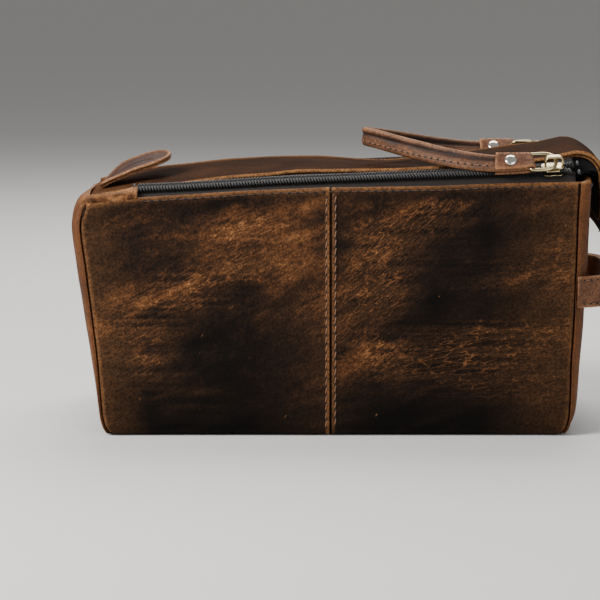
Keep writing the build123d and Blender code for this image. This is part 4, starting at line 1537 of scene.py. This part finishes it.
def handle_frames(sink):
    points = handle_path(sink)
    middle = (handle_low.z + handle_high.z) / 2
    frames = []
    for i, point in enumerate(points):
        heading = (points[min(i + 1, len(points) - 1)] - points[max(i - 1, 0)]).normalized()
        droop = -0.8 * math.sin(math.pi * i / (len(points) - 1))
        centre = Vector((point.x, point.y, middle + droop))
        up = Vector((0, 0, 1))
        frames.append((centre, up, up.cross(heading).normalized()))
    return frames


for name, sink, node in (("outer", 0.0, "end_handle_outer"), ("inner", 1.85, "end_handle_inner")):
    section = band_section(15.8 if sink == 0 else 15.2, 1.75, per_side=14)
    frames = handle_frames(sink)
    verts, faces = swept_band(frames, section)
    wear, tone = [], []
    for i in range(len(frames)):
        for a, u in section:
            wear.append(clamp(0.9 * math.exp(-(((7.9 - abs(a)) / 0.9) ** 2)) + 0.15))
            tone.append(0.55 + 0.2 * ripple(i, a / 2, sink, 5, 2))
    finish_piece(f"leather_handle_{name}", verts, faces, strap_leather, "bag", (node,), tone, wear)

handle_threads, handle_hole_shades = Lump(), Lump()
outer_frames = handle_frames(0.0)
handle_length = sum((b[0] - a[0]).length for a, b in zip(outer_frames, outer_frames[1:]))


def handle_stitch(t, lift, level):
    run = t + 3
    for before, after in zip(outer_frames, outer_frames[1:]):
        step = (after[0] - before[0]).length
        if run <= step:
            part = run / step
            centre, out = before[0].lerp(after[0], part), before[2].lerp(after[2], part)
            return centre + Vector((0, 0, level)) + out * -(0.9 + lift)
        run -= step
    return outer_frames[-1][0] + Vector((0, 0, level))


for level in (-5.9, 5.9):
    stitch_row(handle_threads, handle_hole_shades, lambda t, lift, l=level: handle_stitch(t, lift, l), handle_length - 8)
handle_threads.piece("stitches_handle", thread_tan, "leather_strap", "bag")
handle_hole_shades.piece("stitch_hole_shade_handle", needle_hole_shade, "leather_strap", "bag")


# ---------------------------------------------------------------- stage, light and camera
def stage():
    size = 40.0
    mesh = bpy.data.meshes.new("floor")
    mesh.from_pydata([(-size, -size, 0), (size, -size, 0), (size, size, 0), (-size, size, 0)], [], [(0, 1, 2, 3)])
    floor = bpy.data.objects.new("floor", mesh)
    bpy.context.collection.objects.link(floor)
    material, tree, shader = new_material("pale floor")
    shader.inputs["Base Color"].default_value = (0.62, 0.62, 0.61, 1)
    shader.inputs["Roughness"].default_value = 0.75
    mesh.materials.append(material)
    world = bpy.data.worlds.new("studio")
    bpy.context.scene.world = world
    world.use_nodes = True
    world.node_tree.nodes["Background"].inputs["Color"].default_value = (1.0, 0.985, 0.96, 1)
    world.node_tree.nodes["Background"].inputs["Strength"].default_value = 0.30
    for name, place, size, power, warmth in (
        ("key", (-0.75, -0.45, 0.75), 0.45, 21.0, (1.0, 0.97, 0.93)),
        ("fill", (0.7, -1.0, 0.5), 0.9, 6.0, (0.95, 0.97, 1.0)),
        ("rim", (0.1, 0.6, 0.9), 0.8, 12.0, (1.0, 0.98, 0.95)),
    ):
        light = bpy.data.lights.new(name, "AREA")
        light.size = size
        light.energy = power
        light.color = warmth
        lamp = bpy.data.objects.new(name, light)
        bpy.context.collection.objects.link(lamp)
        lamp.location = place
        aim = Vector((0, 0, 0.07)) - Vector(place)
        lamp.rotation_euler = aim.to_track_quat("-Z", "Y").to_euler()


def make_camera():
    camera = bpy.data.cameras.new("camera")
    camera.lens = 123.7
    camera.sensor_width = 36.0
    camera.clip_start = 0.02
    holder = bpy.data.objects.new("camera", camera)
    bpy.context.collection.objects.link(holder)
    holder.location = Vector((-16, -1050, 226)) * MM
    aim = Vector((-16, -50, 67)) * MM - holder.location
    holder.rotation_euler = aim.to_track_quat("-Z", "Y").to_euler()
    bpy.context.scene.camera = holder


stage()
make_camera()
